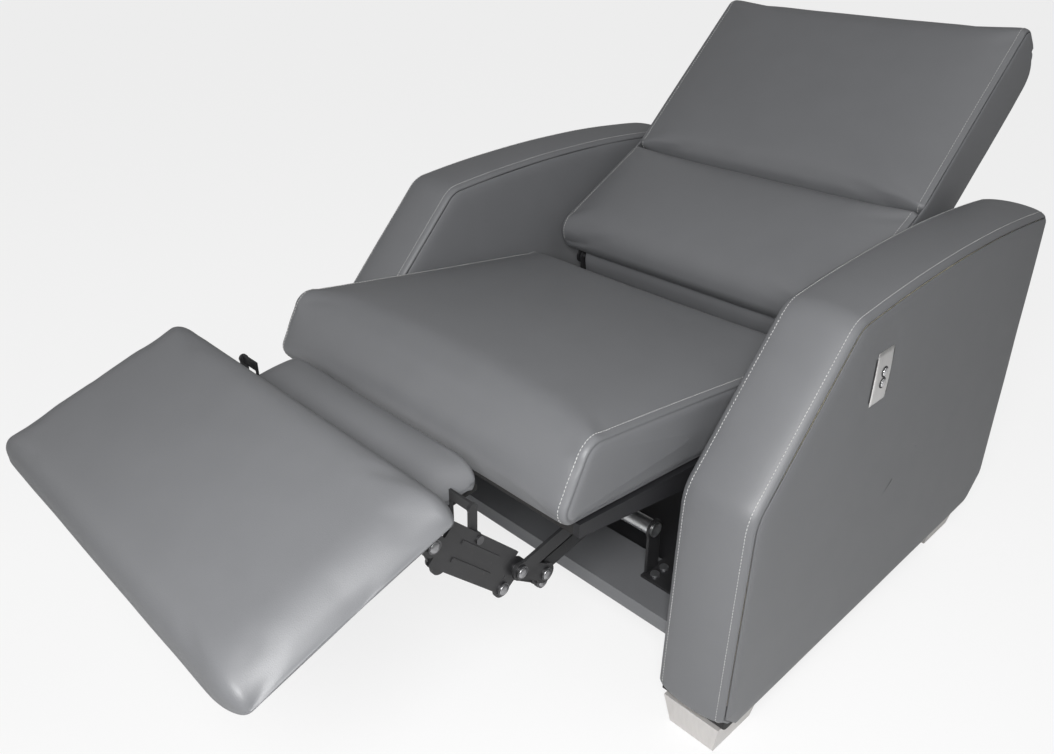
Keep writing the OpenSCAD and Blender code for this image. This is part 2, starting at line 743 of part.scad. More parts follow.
// Padded skins on the outside of the side boards
module seat_side_wraps() {
    rear_y = seat_rear_y - hem;
    color(vinyl) both() side(side_board_x + side_board_t, skin_t + hem) polygon([
        [frame_front_y, under_z(frame_front_y) - cross_h], [side_mid_y, side_mid_z - hem],
        [side_bend_y, side_low_z - hem], [rear_y, side_low_z - side_drop - hem], [rear_y, under_z(rear_y) - gap], [frame_front_y, under_z(frame_front_y) - gap]]);
}
leg_low_z = bar_z - rail_lip / 2;
module seat_plate() {
    color(steel_c) side(plate_x, plate_t) difference() {
        union() {
            bar2d(front_pivot, rear_pivot, link_w + 1);
            polygon([rear_pivot + [0, -boss_r], [leg_front_y, arch_z], [leg_front_y, leg_low_z],
                [leg_rear_y, leg_low_z], [leg_rear_y + leg_slope, tail_z - leg_slope / 2],
                [back_pivot[0] + boss_r * neck_share, tail_z],
                [back_pivot[0] + boss_r * neck_share, back_pivot[1]], [back_pivot[0] - boss_r * neck_share, back_pivot[1]],
                [back_pivot[0] - boss_r * neck_share, tail_z + tail_up], [seat_rear_y + hem, notch_z],
                [seat_rear_y - cross_w - 2 * hem, notch_z], [seat_rear_y - cross_w - 4 * hem, plate_top_z],
                [plate_bend_y, plate_top_z + hem], [mid_rail_y, plate_top_z + 2 * hem], front_pivot]);
            translate(back_pivot) circle(boss_r);
        }
        hole(front_pivot);
        hole(rear_pivot);
        hole(back_pivot);
        for (y = seat_bolt_places) hole([y, seat_bolt_z], screw_r + fit);
        for (y = bar_bolt_places) hole([y, bar_z + bar_h / 2], screw_r + fit);
        // Lightening window in the plate
        polygon([[window_a_y, window_low_z], [window_b_y, window_low_z],
            [window_b_y - leg_slope, window_top_z], [window_a_y + leg_slope, window_top_z]]);
    }
}
seat_bolt_places = [-40, 40, 118];
seat_bolt_z = 328;
bar_bolt_places = [-30, 60, 150];
module left_seat_plate() { seat_plate(); }
module right_seat_plate() { at_right() seat_plate(); }
module slide_bars() {
    color(zinc_c) both() difference() {
        translate([plate_x + plate_t, bar_front_y, bar_z]) cube([bar_w, bar_len, bar_h]);
        for (y = bar_bolt_places) pin_x([y, bar_z + bar_h / 2], plate_x, arm_in_x, screw_r + fit);
    }
}
// Bolts with spacers that hold the plates to the side boards, and bolts into the slide bars
module seat_bolts() {
    color(zinc_c) both() {
        for (y = seat_bolt_places) {
            pin_x([y, seat_bolt_z], plate_x, side_board_x - plate_x, screw_r);
            pin_x([y, seat_bolt_z], plate_x - screw_r * 0.7, screw_r * 0.7, 1.6 * screw_r);
            pin_x([y, seat_bolt_z], plate_x + plate_t, side_board_x - plate_x - plate_t, 2 * screw_r);
        }
        for (y = bar_bolt_places) {
            pin_x([y, bar_z + bar_h / 2], plate_x, plate_t + bar_w, screw_r);
            pin_x([y, bar_z + bar_h / 2], plate_x - screw_r * 0.7, screw_r * 0.7, 1.6 * screw_r);
        }
    }
}
module seat_rivets() {
    color(zinc_c) both() {
        rivet(front_pivot, plate_x, link_x + plate_t);
        rivet(rear_pivot, inner_x, plate_x + plate_t);
        rivet(back_pivot, plate_x, link_x + plate_t);
    }
}
bracket_w = 40;
module drive_bracket() {
    top_z = under_z(bracket_y + bracket_t) - cross_h - gap;
    color(steel_c) difference() {
        translate([-bracket_w / 2, bracket_y, drive_z - rod_r * 1.8])
            cube([bracket_w, bracket_t, top_z - drive_z + rod_r * 1.8]);
        translate([0, bracket_y - cut, drive_z]) rotate([-90, 0, 0]) cylinder(h = bracket_t + 2 * cut, r = screw_r + fit);
    }
}
rod_len = 240;
module actuator_rod() {
    color(zinc_c) translate([0, rod_front_y, drive_z]) rotate([-90, 0, 0]) {
        cylinder(h = rod_len, r = rod_r);
        translate([0, 0, -bracket_t]) cylinder(h = bracket_t, r = screw_r);
        translate([0, 0, -bracket_t - screw_r * 0.7]) cylinder(h = screw_r * 0.7, r = 1.8 * screw_r);
    }
}

// Back, drawn along each face: Y runs up the face and Z out of it
module on_lumbar() { translate([0, lumbar_p[0], lumbar_p[1]]) rotate([lumbar_deg, 0, 0]) children(); }
module on_upper() { translate([0, upper_p[0], upper_p[1]]) rotate([upper_deg, 0, 0]) children(); }
lumbar_corners = [
    [0, -lumbar_d, back_low_r, 0], [lumbar_len, -lumbar_d, back_low_r, 0],
    [lumbar_len, 0, fold_r, lumbar_crown], [0, 0, lumbar_nose_r, back_swell]
];
foam_d = upper_d - back_frame_d - panel_t;
upper_corners = [
    [fold_start, -foam_d, back_low_r, 0], [upper_len + fold_gap, -foam_d, back_top_r, 0],
    [upper_len, 0, back_top_r, upper_crown], [fold_start, 0, fold_r, 0]
];
module lumbar_cushion() { color(vinyl) pad(lumbar_corners, back_half_w, back_end_r, back_swell, lumbar_p, lumbar_deg); }
module upper_back_cushion() { color(vinyl) pad(upper_corners, back_half_w, back_end_r, back_swell, upper_p, upper_deg); }
lumbar_frame_y = 42;
function on_l(y, z) = lumbar_p + y * [cos(lumbar_deg), sin(lumbar_deg)] + z * [sin(lumbar_deg), -cos(lumbar_deg)];
function on_u(y, z) = upper_p + y * [cos(upper_deg), sin(upper_deg)] + z * [sin(upper_deg), -cos(upper_deg)];
back_bend = lumbar_len - fold_gap;
// Bent strip behind both cushions, seen from the side: its near and far ends, its depth below the foam, its thickness
module back_strip(near, far, deep, t) {
    l = lumbar_d + deep;
    u = foam_d + deep;
    polygon([on_l(near, l), on_l(back_bend, l), on_u(fold_gap, u), on_u(far, u),
        on_u(far, u + t), on_u(fold_gap, u + t), on_l(back_bend, l + t), on_l(near, l + t)]);
}
// Side boards and rails of the back, behind the two cushions
module back_frame() {
    color(wood_c) {
        both() side(back_board_x, back_board_t) back_strip(lumbar_frame_y, board_far, gap, back_frame_d);
        // The lower rail ends at the brackets, which lie against the side boards
        for (q = [[lumbar_frame_y + rail_end, link_x], [lumbar_len - back_rail_w - 2 * rail_end, back_board_x]]) on_lumbar()
            translate([-q[1], q[0], -lumbar_d - gap - back_frame_d]) cube([2 * q[1], back_rail_w, back_frame_d]);
        for (y = [2 * fold_gap, upper_len / 2, board_far - back_rail_w]) on_upper()
            translate([-back_board_x, y, -foam_d - gap - back_frame_d]) cube([2 * back_board_x, back_rail_w, back_frame_d]);
    }
}
// The cover of the back folds round the frame's sides and top, and hangs below it as a skirt
panel_far = upper_len - panel_short;
board_far = panel_far - panel_t - gap;
module back_panel() {
    t = panel_t;
    l = lumbar_d + 2 * gap + back_frame_d;
    u = foam_d + 2 * gap + back_frame_d;
    skirt_y = on_l(lumbar_frame_y, l)[0];
    skirt_top = lumbar_frame_y + t * (1 - sin(lumbar_deg)) / cos(lumbar_deg);
    wrap_x = back_board_x + back_board_t + gap;
    panel_w = back_half_w - hem;
    color(vinyl) {
        side(-panel_w, 2 * panel_w) polygon([
            [skirt_y, skirt_low_z], [skirt_y + t, skirt_low_z], on_l(skirt_top, l + t), on_l(back_bend, l + t),
            on_u(fold_gap, u + t), on_u(panel_far, u + t), on_u(panel_far, foam_d + gap),
            on_u(panel_far - t, foam_d + gap), on_u(panel_far - t, u), on_u(fold_gap, u), on_l(back_bend, l),
            on_l(lumbar_frame_y, l)]);
        both() side(wrap_x, panel_w - wrap_x)
            back_strip(lumbar_frame_y + t, panel_far - t / 2, gap, back_frame_d + gap + t / 2);
    }
}
bracket_reach = 150;
module back_brackets() {
    up = [cos(lumbar_deg), sin(lumbar_deg)];
    mid_d = lumbar_d + gap + back_frame_d / 2;
    base = lumbar_p + mid_d * [sin(lumbar_deg), -cos(lumbar_deg)];
    color(steel_c) both() side(link_x, plate_t) difference() {
        union() {
            bar2d(back_pivot, base + (lumbar_frame_y + fold_gap) * up, 2 * boss_r);
            bar2d(base + (lumbar_frame_y + fold_gap) * up, base + bracket_reach * up, 2 * boss_r);
        }
        hole(back_pivot);
    }
}

// Footrest linkage
module link_eye(p) { translate(p) circle(link_w / 2); }
module front_links() {
    color(steel_c) both() side(link_x, plate_t) difference() {
        bar2d(front_pivot, knee_p, link_w);
        hole(front_pivot);
        hole(knee_p);
    }
}
module crank_rivets() { color(zinc_c) both() rivet(crank_p, steer_x, inner_x + plate_t, steer_pin_r); }
module rear_links() {
    color(steel_c) both() side(inner_x, plate_t) difference() {
        union() {
            bar2d(rear_pivot, elbow_p, link_w);
            bar2d(elbow_p, crank_p, eye_w);
        }
        hole(rear_pivot);
        hole(elbow_p);
        hole(crank_p, steer_pin_r + fit);
    }
}
module steering_links() {
    color(steel_c) both() side(steer_x, plate_t) difference() {
        bar2d(crank_p, steer_pivot, eye_w);
        hole(crank_p, steer_pin_r + fit);
        hole(steer_pivot, steer_pin_r + steer_slop);
    }
}
rib_w = 5;
rib_t = 1.5;
rib_end = 26;
carrier_len = 122;
carrier_deg = 135;
carrier_foot = [-391, 341];
module on_carrier2d() { translate(carrier_foot) rotate(carrier_deg) children(); }
module carrier() {
    color(steel_c) {
        side(plate_x, plate_t) difference() {
            union() {
                bar2d(knee_p, elbow_p, 2 * boss_r);
                bar2d(knee_p, toe_pivot, 2 * boss_r);
                bar2d(knee_p, stop_p, link_w);
                on_carrier2d() translate([0, -carrier_w / 2]) square([carrier_len, carrier_w]);
            }
            hole(knee_p);
            hole(elbow_p);
            hole(toe_pivot);
            hole(stop_p);
            hole(strap_p, screw_r + fit);
        }
        // Two pressed ribs along the plate
        for (k = [-1, 1]) side(plate_x + plate_t, rib_t) on_carrier2d()
            translate([rib_end, k * carrier_w / 5 - rib_w / 2]) square([carrier_len - 2 * rib_end, rib_w]);
    }
}
module carriers() { both() carrier(); }
module carrier_rivets() {
    color(zinc_c) both() {
        rivet(knee_p, plate_x, link_x + plate_t);
        rivet(elbow_p, inner_x, plate_x + plate_t);
        // Stop stud at the carrier's lower corner
        pin_x(stop_p, plate_x - head_t, plate_t + 2 * head_t, rivet_r);
        pin_x(stop_p, plate_x - head_t, head_t, head_r);
        pin_x(stop_p, plate_x + plate_t, head_t, head_r);
    }
}

// Flap on the carriers: strap, board and pad
module on_flap() { translate([0, flap_rear[0], flap_rear[1]]) rotate([flap_deg, 0, 0]) children(); }
flap_pad_t = flap_t - flap_board_t;
flap_corners = [
    [-flap_len, -flap_pad_t, flap_low_r, 0], [0, -flap_pad_t, flap_low_r, 0],
    [0, 0, flap_top_r, flap_crown], [-flap_len, 0, flap_top_r, 0]
];
strap_w2 = 12;
flap_end_r = 9;
flap_board_in = 8;
module flap_pad() { color(vinyl) pad(flap_corners, flap_half_w, flap_end_r, flap_draw, flap_rear, flap_deg); }
module flap_board() {
    color(wood_c) on_flap() translate([-flap_half_w + flap_board_in, -flap_len + flap_board_in, -flap_t])
        cube([2 * (flap_half_w - flap_board_in), flap_len - 2 * flap_board_in, flap_board_t - gap]);
}
// Strap on the carrier, with a cross tab that reaches over to the flap board
module flap_straps() {
    end_x = flap_half_w + strap_t;
    foot_y = strap_top[0] - strap_t / 2;
    foot_z = flap_rear[1] + (foot_y - flap_rear[0]) * tan(flap_deg) - flap_t / cos(flap_deg);
    color(steel_c) both() {
        side(inner_x, plate_t) difference() {
            bar2d(strap_p, strap_top, strap_w2);
            hole(strap_p, screw_r + fit);
        }
        translate([0, strap_top[0] + strap_t / 2, 0]) rotate([90, 0, 0]) linear_extrude(strap_t) polygon([
            [end_x, foot_z - gap], [end_x, strap_top[1] + strap_w2 / 2],
            [inner_x, strap_top[1] + strap_w2 / 2], [inner_x, strap_top[1] - strap_w2 / 2],
            [end_x + strap_t, strap_top[1] - strap_w2 / 2], [end_x + strap_t, foot_z - strap_t - gap],
            [flange_x, foot_z - strap_t - gap], [flange_x, foot_z - gap]]);
    }
}
flange_x = 140;
bolt_end_r = 5;
// Bolts that hold the straps on the carriers
module strap_bolts() {
    color(zinc_c) both() {
        pin_x(strap_p, inner_x - head_t, plate_x + plate_t + head_t - inner_x + head_t, screw_r);
        pin_x(strap_p, inner_x - head_t, head_t, head_r);
        pin_x(strap_p, inner_x + plate_t, plate_x - inner_x - plate_t, collar_r);
        pin_x(strap_p, plate_x + plate_t, head_t, bolt_end_r);
    }
}

// Footrest: Y runs back up the face and Z out of it
module on_rest() { translate([0, rest_rear[0], rest_rear[1]]) rotate([rest_deg, 0, 0]) children(); }
rest_pad_t = rest_t - rest_board_t;
rest_corners = [
    [-rest_len, -rest_pad_t, rest_low_r, 0], [0, -rest_pad_t, rest_low_r, 0],
    [0, 0, rest_top_r, rest_crown], [-rest_len, 0, rest_top_r, rest_lip]
];
module footrest_pad() { color(vinyl) pad(rest_corners, rest_half_w, rest_end_r, rest_lip, rest_rear, rest_deg); }
module footrest_board() {
    color(wood_c) on_rest() translate([-rest_half_w + rest_board_in, -rest_len + rest_board_in / 2, -rest_t])
        cube([2 * (rest_half_w - rest_board_in), rest_len - rest_board_in, rest_board_t - gap]);
}
flange_w = 30;
flange_len = 190;
flange_in = 34;
web_a = 16;
web_b = 66;
module footrest_brackets() {
    color(steel_c) both() {
        on_rest() translate([inner_x + plate_t - flange_w, -rest_len + flange_in, -rest_t - rest_flange_t])
            cube([flange_w, flange_len, rest_flange_t]);
        side(inner_x, plate_t) difference() {
            union() {
                bar2d(toe_pivot, steer_pivot, link_w);
                polygon([toe_pivot + [-link_w * neck_share / 2, 0], toe_pivot + [link_w * neck_share / 2, 0],
                    rest_point(-web_a), rest_point(-web_b)]);
            }
            hole(toe_pivot);
        }
    }
}
// Rivets on the footrest's brackets, with the loose stud that the steering link rides on
module footrest_rivets() {
    color(zinc_c) both() {
        rivet(toe_pivot, inner_x, plate_x + plate_t);
        pin_x(steer_pivot, steer_x - head_t - play, inner_x - steer_x + head_t + play, steer_pin_r);
        pin_x(steer_pivot, steer_x - head_t - play, head_t, head_r);
        pin_x(steer_pivot, steer_x + plate_t + play, inner_x - steer_x - plate_t - play, collar_r);
    }
}
function rest_point(y) = rest_rear + y * [cos(rest_deg), sin(rest_deg)]
    + (rest_t + rest_flange_t) * [sin(rest_deg), -cos(rest_deg)];

left_arm_board();
right_arm_board();
left_arm_foam();
right_arm_foam();
arm_sills();
left_arm_band();
right_arm_band();
left_outer_skin();
right_outer_skin();
left_inner_skin();
right_inner_skin();
feet();
foot_screws();
front_rail();
front_rail_wrap();
rear_rail();
rail_brackets();
base_angles();
tracks();
base_screws();
cross_tubes();
actuator_tube();
gear_housing();
motor();
power_inlet();
switch_box();
switch_plate();
switch_lead();
open_button();
close_button();
seat_frame();
seat_deck();
seat_cushion();
seat_side_wraps();
left_seat_plate();
right_seat_plate();
slide_bars();
seat_bolts();
seat_rivets();
drive_bracket();
actuator_rod();
back_frame();
lumbar_cushion();
upper_back_cushion();
back_panel();
back_brackets();
front_links();
crank_rivets();
rear_links();
carriers();
carrier_rivets();
flap_pad();
flap_board();
flap_straps();
strap_bolts();
footrest_pad();
footrest_board();
footrest_brackets();
footrest_rivets();
steering_links();
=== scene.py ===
# %% [markdown]
# # A cinema recliner seat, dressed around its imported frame
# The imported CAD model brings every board, plate, link and rivet in its true place. This script adds what the eye
# notices first: stuffed leatherette pads, sewn seams, domed rivet heads and the finishes. Everything is in metres and
# in the frame's own axes, so a cover lands on the part it dresses without any fitting by hand.

# %% Frame and helpers that every later cell leans on
import json
import math

import bmesh
import bpy
import numpy as np
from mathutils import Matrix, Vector, noise
from mathutils.bvhtree import BVHTree
from mathutils.kdtree import KDTree


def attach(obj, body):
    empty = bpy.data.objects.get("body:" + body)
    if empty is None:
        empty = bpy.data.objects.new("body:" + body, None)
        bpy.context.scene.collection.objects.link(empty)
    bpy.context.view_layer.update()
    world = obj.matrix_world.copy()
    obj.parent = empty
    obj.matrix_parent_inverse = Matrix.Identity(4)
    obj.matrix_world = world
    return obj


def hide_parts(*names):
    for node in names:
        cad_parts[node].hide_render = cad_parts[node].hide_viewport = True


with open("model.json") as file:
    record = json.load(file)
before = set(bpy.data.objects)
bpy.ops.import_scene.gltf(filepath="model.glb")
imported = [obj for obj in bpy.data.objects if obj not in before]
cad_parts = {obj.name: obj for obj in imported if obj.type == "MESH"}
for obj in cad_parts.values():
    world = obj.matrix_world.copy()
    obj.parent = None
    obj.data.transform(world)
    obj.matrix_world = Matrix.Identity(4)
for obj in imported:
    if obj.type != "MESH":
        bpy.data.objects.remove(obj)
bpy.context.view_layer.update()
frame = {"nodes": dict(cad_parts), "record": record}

MM = 0.001
scene = bpy.context.scene

# %% [markdown]
# ## Camera
# The seat is seen from its front left, about 28 degrees above the floor and 46 degrees round from its front. The place
# was worked out from the edges of the two arms, which run parallel on the real seat, so the lens follows from how fast
# they close in. A wide lens, 31 mm on a 36 mm sensor, gives the strong taper between the near arm and the far one.

# %% Camera
eye = Vector((0.8064, -0.9117, 0.9961))
camera_data = bpy.data.cameras.new("camera")
camera_data.sensor_width = 36.0
camera_data.lens = 31.28
camera_data.clip_end = 60.0
camera = bpy.data.objects.new("camera", camera_data)
camera.location = eye
camera.rotation_euler = (math.radians(90 - 28.4), math.radians(-0.03), math.radians(45.81))
scene.collection.objects.link(camera)
scene.camera = camera
scene.view_settings.view_transform = "Standard"

# %% [markdown]
# ## A small language for shader maths
# A finish is a tree of nodes. Wired by hand it becomes hard to read, so one class wraps a socket and lets Python's own
# operators add the Math nodes. `0.4 + 0.2 * speckle` then reads as it would on paper. Any other node comes from one
# method, which sets the node up first and fills its sockets after.

# %% Value and Finish
class Value:
    """A number that varies over a surface, as a socket that + - * / and ** work on."""

    def __init__(self, finish, socket):
        self.finish, self.socket = finish, socket

    def maths(self, operation, first, second):
        return self.finish.node("ShaderNodeMath", {"operation": operation}, {0: first, 1: second})

    def __add__(self, other): return self.maths("ADD", self, other)
    def __radd__(self, other): return self.maths("ADD", other, self)
    def __sub__(self, other): return self.maths("SUBTRACT", self, other)
    def __rsub__(self, other): return self.maths("SUBTRACT", other, self)
    def __mul__(self, other): return self.maths("MULTIPLY", self, other)
    def __rmul__(self, other): return self.maths("MULTIPLY", other, self)
    def __truediv__(self, other): return self.maths("DIVIDE", self, other)
    def __pow__(self, other): return self.maths("POWER", self, other)
    def over(self, edge): return self.maths("GREATER_THAN", self, edge)


class Finish:
    """One material. Its Principled shader is filled by name."""

    def __init__(self, name):
        self.material = bpy.data.materials.new(name)
        self.material.use_nodes = True
        self.tree = self.material.node_tree
        self.shader = self.tree.nodes["Principled BSDF"]
        self.place = self.node("ShaderNodeTexCoord", out="Object")

    def node(self, kind, settings=None, inputs=None, out=0):
        made = self.tree.nodes.new(kind)
        for name, value in (settings or {}).items():
            if name == "stops":
                ramp = made.color_ramp
                while len(ramp.elements) < len(value):
                    ramp.elements.new(0.5)
                for element, (at, colour) in zip(ramp.elements, value):
                    element.position, element.color = at, (*colour, 1)
            else:
                setattr(made, name, value)
        for name, value in (inputs or {}).items():
            self.fill(made.inputs[name], value)
        return Value(self, made.outputs[out])

    def fill(self, socket, value):
        if isinstance(value, Value):
            self.tree.links.new(value.socket, socket)
        elif isinstance(value, (tuple, list)) and len(value) == 3 and socket.type == "RGBA":
            socket.default_value = (*value, 1)
        else:
            socket.default_value = value

    def noise(self, scale, detail=2.0, stretch=None):
        place = self.place if stretch is None else self.stretched(stretch)
        return self.node("ShaderNodeTexNoise", {"noise_dimensions": "3D"},
                         {"Vector": place, "Scale": scale, "Detail": detail})

    def cells(self, scale, feature="F1"):
        return self.node("ShaderNodeTexVoronoi", {"feature": feature}, {"Vector": self.place, "Scale": scale},
                         out="Distance")

    def stretched(self, scale):
        return self.node("ShaderNodeMapping", {"vector_type": "POINT"}, {"Vector": self.place, "Scale": scale})

    def mix(self, share, first, second):
        mixed = self.tree.nodes.new("ShaderNodeMix")
        mixed.data_type = "RGBA"
        self.fill(mixed.inputs[0], share)
        self.fill(mixed.inputs[6], first)
        self.fill(mixed.inputs[7], second)
        return Value(self, mixed.outputs[2])

    def ridge(self, height, strength, reach):
        return self.node("ShaderNodeBump", None, {"Height": height, "Strength": strength, "Distance": reach})

    def shade(self, **inputs):
        for name, value in inputs.items():
            self.fill(self.shader.inputs[name.replace("_", " ")], value)
        return self.material


def shade_of(colour, factor):
    return tuple(min(1.0, c * factor) for c in colour)

# %% [markdown]
# ## Leatherette
# The cover is a mid-grey coated cloth. Close up it has a fine pebbled grain, a little under a millimetre across; from
# a step away it shows as a soft satin sheen that breaks up slightly. Two sizes of cells make the pebbles, a slow noise
# shifts the tone from hide to hide, and a stored number called `seam`, 1 in a sewn groove and 0 away from it, darkens
# the groove with painted shade.

# %% Leatherette
def leatherette(name, colour, gloss=0.44, grain=0.22):
    finish = Finish(name)
    seam = finish.node("ShaderNodeAttribute", {"attribute_name": "seam"}, out="Fac")
    pebble = finish.cells(950.0) * 0.7 + finish.cells(2100.0) * 0.3
    cloud = finish.noise(3.2, 3.0)
    rub = finish.noise(24.0, 4.0)
    tone = cloud * 0.55 + rub * 0.45
    base = finish.mix(tone, shade_of(colour, 0.90), shade_of(colour, 1.10))
    # Painted shade: inside a sewn groove the colour darkens towards 0.45 of the cover's own.
    base = finish.mix(seam * 0.4, base, shade_of(colour, 0.45))
    crease = finish.noise(60.0, 3.0, (1.0, 0.45, 1.0))
    height = pebble * 0.75 + crease * 0.5
    return finish.shade(Base_Color=base, Roughness=gloss + 0.10 * rub - 0.06 * pebble + 0.2 * seam,
                        Normal=finish.ridge(height, grain, 0.0007))


hide_grey = (0.148, 0.151, 0.158)
cover = leatherette("leatherette_grey", hide_grey)
print("leatherette nodes", len(cover.node_tree.nodes))

# %% [markdown]
# ## Metals, boards and plastics
# The linkage is stamped steel in satin black paint, which picks up dust on flat faces and rubs to bare metal in specks.
# Tubes, tracks and fasteners are zinc plated: a crystal pattern of slightly different greys with dull patches. The
# switch plate and feet are brushed, so their noise is drawn out along one axis. Boards are birch ply with stretched
# grain, and plastics have a fine moulded texture.

# %% Metals, boards and plastics
def painted_steel(name):
    finish = Finish(name)
    dust = finish.noise(38.0, 6.0)
    speck = finish.noise(420.0, 2.0)
    worn = speck.over(0.735)
    base = finish.mix(dust * 0.35, (0.010, 0.010, 0.011), (0.060, 0.060, 0.062))
    base = finish.mix(worn * 0.5, base, (0.22, 0.22, 0.22))
    return finish.shade(Base_Color=base, Metallic=worn * 0.8, Roughness=0.34 + 0.24 * dust,
                        Normal=finish.ridge(speck, 0.12, 0.0004))


def plated(name, colour, dull=0.30):
    finish = Finish(name)
    flake = finish.node("ShaderNodeTexVoronoi", {"feature": "F1"}, {"Vector": finish.place, "Scale": 160.0},
                        out="Color")
    flake = finish.node("ShaderNodeSeparateColor", None, {"Color": flake})
    stain = finish.noise(30.0, 5.0)
    base = finish.mix(flake * 0.4 + stain * 0.6, shade_of(colour, 0.78), shade_of(colour, 1.08))
    return finish.shade(Base_Color=base, Metallic=1.0, Roughness=dull + 0.18 * stain + 0.05 * flake,
                        Normal=finish.ridge(stain, 0.08, 0.0006))


def brushed(name, colour, along, metallic=1.0, dull=0.26):
    finish = Finish(name)
    stretch = [260.0, 260.0, 260.0]
    stretch["xyz".index(along)] = 9.0
    hair = finish.noise(1.0, 4.0, tuple(stretch))
    spot = finish.noise(45.0, 3.0)
    base = finish.mix(hair, shade_of(colour, 0.88), shade_of(colour, 1.08))
    return finish.shade(Base_Color=base, Metallic=metallic, Roughness=dull + 0.16 * hair + 0.06 * spot,
                        Normal=finish.ridge(hair, 0.15, 0.0003))


def moulded(name, colour, rough=0.5):
    finish = Finish(name)
    texture = finish.noise(900.0, 2.0)
    haze = finish.noise(22.0, 3.0)
    base = finish.mix(haze, shade_of(colour, 0.85), shade_of(colour, 1.25))
    return finish.shade(Base_Color=base, Roughness=rough + 0.14 * haze,
                        Normal=finish.ridge(texture, 0.18, 0.0003))


def plywood(name, dark=(0.42, 0.27, 0.13), light=(0.66, 0.47, 0.27)):
    finish = Finish(name)
    ring = finish.node("ShaderNodeTexWave", {"wave_type": "BANDS", "bands_direction": "Z"},
                       {"Vector": finish.stretched((2.0, 2.0, 30.0)), "Scale": 3.0, "Distortion": 5.0,
                        "Detail": 3.0, "Detail Scale": 1.2}, out="Fac")
    fibre = finish.noise(1.0, 4.0, (500.0, 14.0, 500.0))
    base = finish.mix(ring * 0.4 + fibre * 0.6, dark, light)
    return finish.shade(Base_Color=base, Roughness=0.62 + 0.15 * fibre, Normal=finish.ridge(fibre, 0.2, 0.0004))


def open_foam(name):
    finish = Finish(name)
    pore = finish.cells(700.0)
    haze = finish.noise(16.0, 3.0)
    base = finish.mix(pore * 0.5 + haze * 0.5, (0.70, 0.64, 0.46), (0.88, 0.83, 0.66))
    return finish.shade(Base_Color=base, Roughness=0.9, Normal=finish.ridge(pore, 0.5, 0.0008))


def woven(name, colour):
    finish = Finish(name)
    warp = finish.node("ShaderNodeTexWave", {"wave_type": "BANDS", "bands_direction": "X"},
                       {"Vector": finish.place, "Scale": 260.0}, out="Fac")
    weft = finish.node("ShaderNodeTexWave", {"wave_type": "BANDS", "bands_direction": "Y"},
                       {"Vector": finish.place, "Scale": 260.0}, out="Fac")
    knit = warp * weft
    base = finish.mix(knit, shade_of(colour, 0.55), shade_of(colour, 1.5))
    return finish.shade(Base_Color=base, Roughness=0.82 + 0.1 * knit, Normal=finish.ridge(knit, 0.6, 0.0006))


def sewing_thread(name, colour):
    finish = Finish(name)
    ply = finish.noise(1400.0, 2.0)
    base = finish.mix(ply, shade_of(colour, 0.75), shade_of(colour, 1.1))
    return finish.shade(Base_Color=base, Roughness=0.55 + 0.2 * ply, Normal=finish.ridge(ply, 0.3, 0.0003))


black_steel = painted_steel("painted_black_steel")
zinc = plated("zinc_plated_steel", (0.62, 0.63, 0.65))
bright_zinc = plated("bright_zinc_tube", (0.80, 0.81, 0.82), 0.20)
silver_plate = brushed("brushed_silver_plate", (0.86, 0.85, 0.84), "z", 1.0, 0.22)
silver_foot = brushed("brushed_silver_foot", (0.62, 0.60, 0.585), "z", 0.35, 0.36)
black_plastic = moulded("moulded_black_plastic", (0.020, 0.020, 0.022))
birch = plywood("birch_plywood")
foam = open_foam("open_cell_foam")
webbing = woven("black_webbing", (0.045, 0.045, 0.05))
thread = sewing_thread("pale_sewing_thread", (0.58, 0.58, 0.57))
rivet_head = plated("rivet_head_steel", (0.34, 0.34, 0.35), 0.24)
chrome = brushed("polished_button_cap", (0.82, 0.82, 0.83), "y", 1.0, 0.08)

finish_of = {
    "black_steel": black_steel, "zinc": zinc, "brushed_silver": silver_plate, "timber": birch, "foam": foam,
    "webbing": webbing, "black_plastic": black_plastic, "upholstery": cover,
}
for part in frame["record"]["subparts"]:
    node = frame["nodes"][part["node"]]
    node.data.materials.clear()
    node.data.materials.append(finish_of[part["material_slot"]])
dark_cover = leatherette("leatherette_black", (0.016, 0.016, 0.018))
# Painted shade: a near-black board finish that stands in for the shade under the seat and in the frame's gaps.
shade_black_board = plywood("black_stained_board", (0.008, 0.008, 0.008), (0.022, 0.021, 0.020))
dark_rivet = plated("dark_rivet_steel", (0.16, 0.16, 0.165), 0.32)
finish_of_node = {"feet": silver_foot, "cross_tubes": bright_zinc, "open_button": chrome, "close_button": chrome,
                  "seat_side_wraps": dark_cover}
# These boards show only under the seat and through gaps, so they get the near-black painted shade instead of bare ply.
for name in ("seat_frame", "back_frame", "flap_board", "footrest_board", "front_rail", "arm_sills", "left_arm_board",
             "right_arm_board"):
    finish_of_node[name] = shade_black_board
for name in ("seat_rivets", "crank_rivets", "carrier_rivets", "footrest_rivets", "strap_bolts"):
    finish_of_node[name] = dark_rivet
for name, finish in finish_of_node.items():
    frame["nodes"][name].material_slots[0].material = finish

# %% [markdown]
# ## Outlines of the upholstered parts
# Every pad on this seat is an outline seen from the side, carried across its width. The outline has rounded corners
# and sides that may swell, so one function serves them all. Each corner is `[y, z, radius, swell of the next side]` in
# millimetres, in the order that keeps the pad on the left. Drawing the outline in by a distance gives the smaller rings
# at the ends, and the counts depend on the full outline only, so the rings always match point for point.

# %% Outline
ARCS = 6


def unit(v):
    return v / np.linalg.norm(v)


def outward(a, b):
    d = unit(b - a)
    return np.array([d[1], -d[0]])


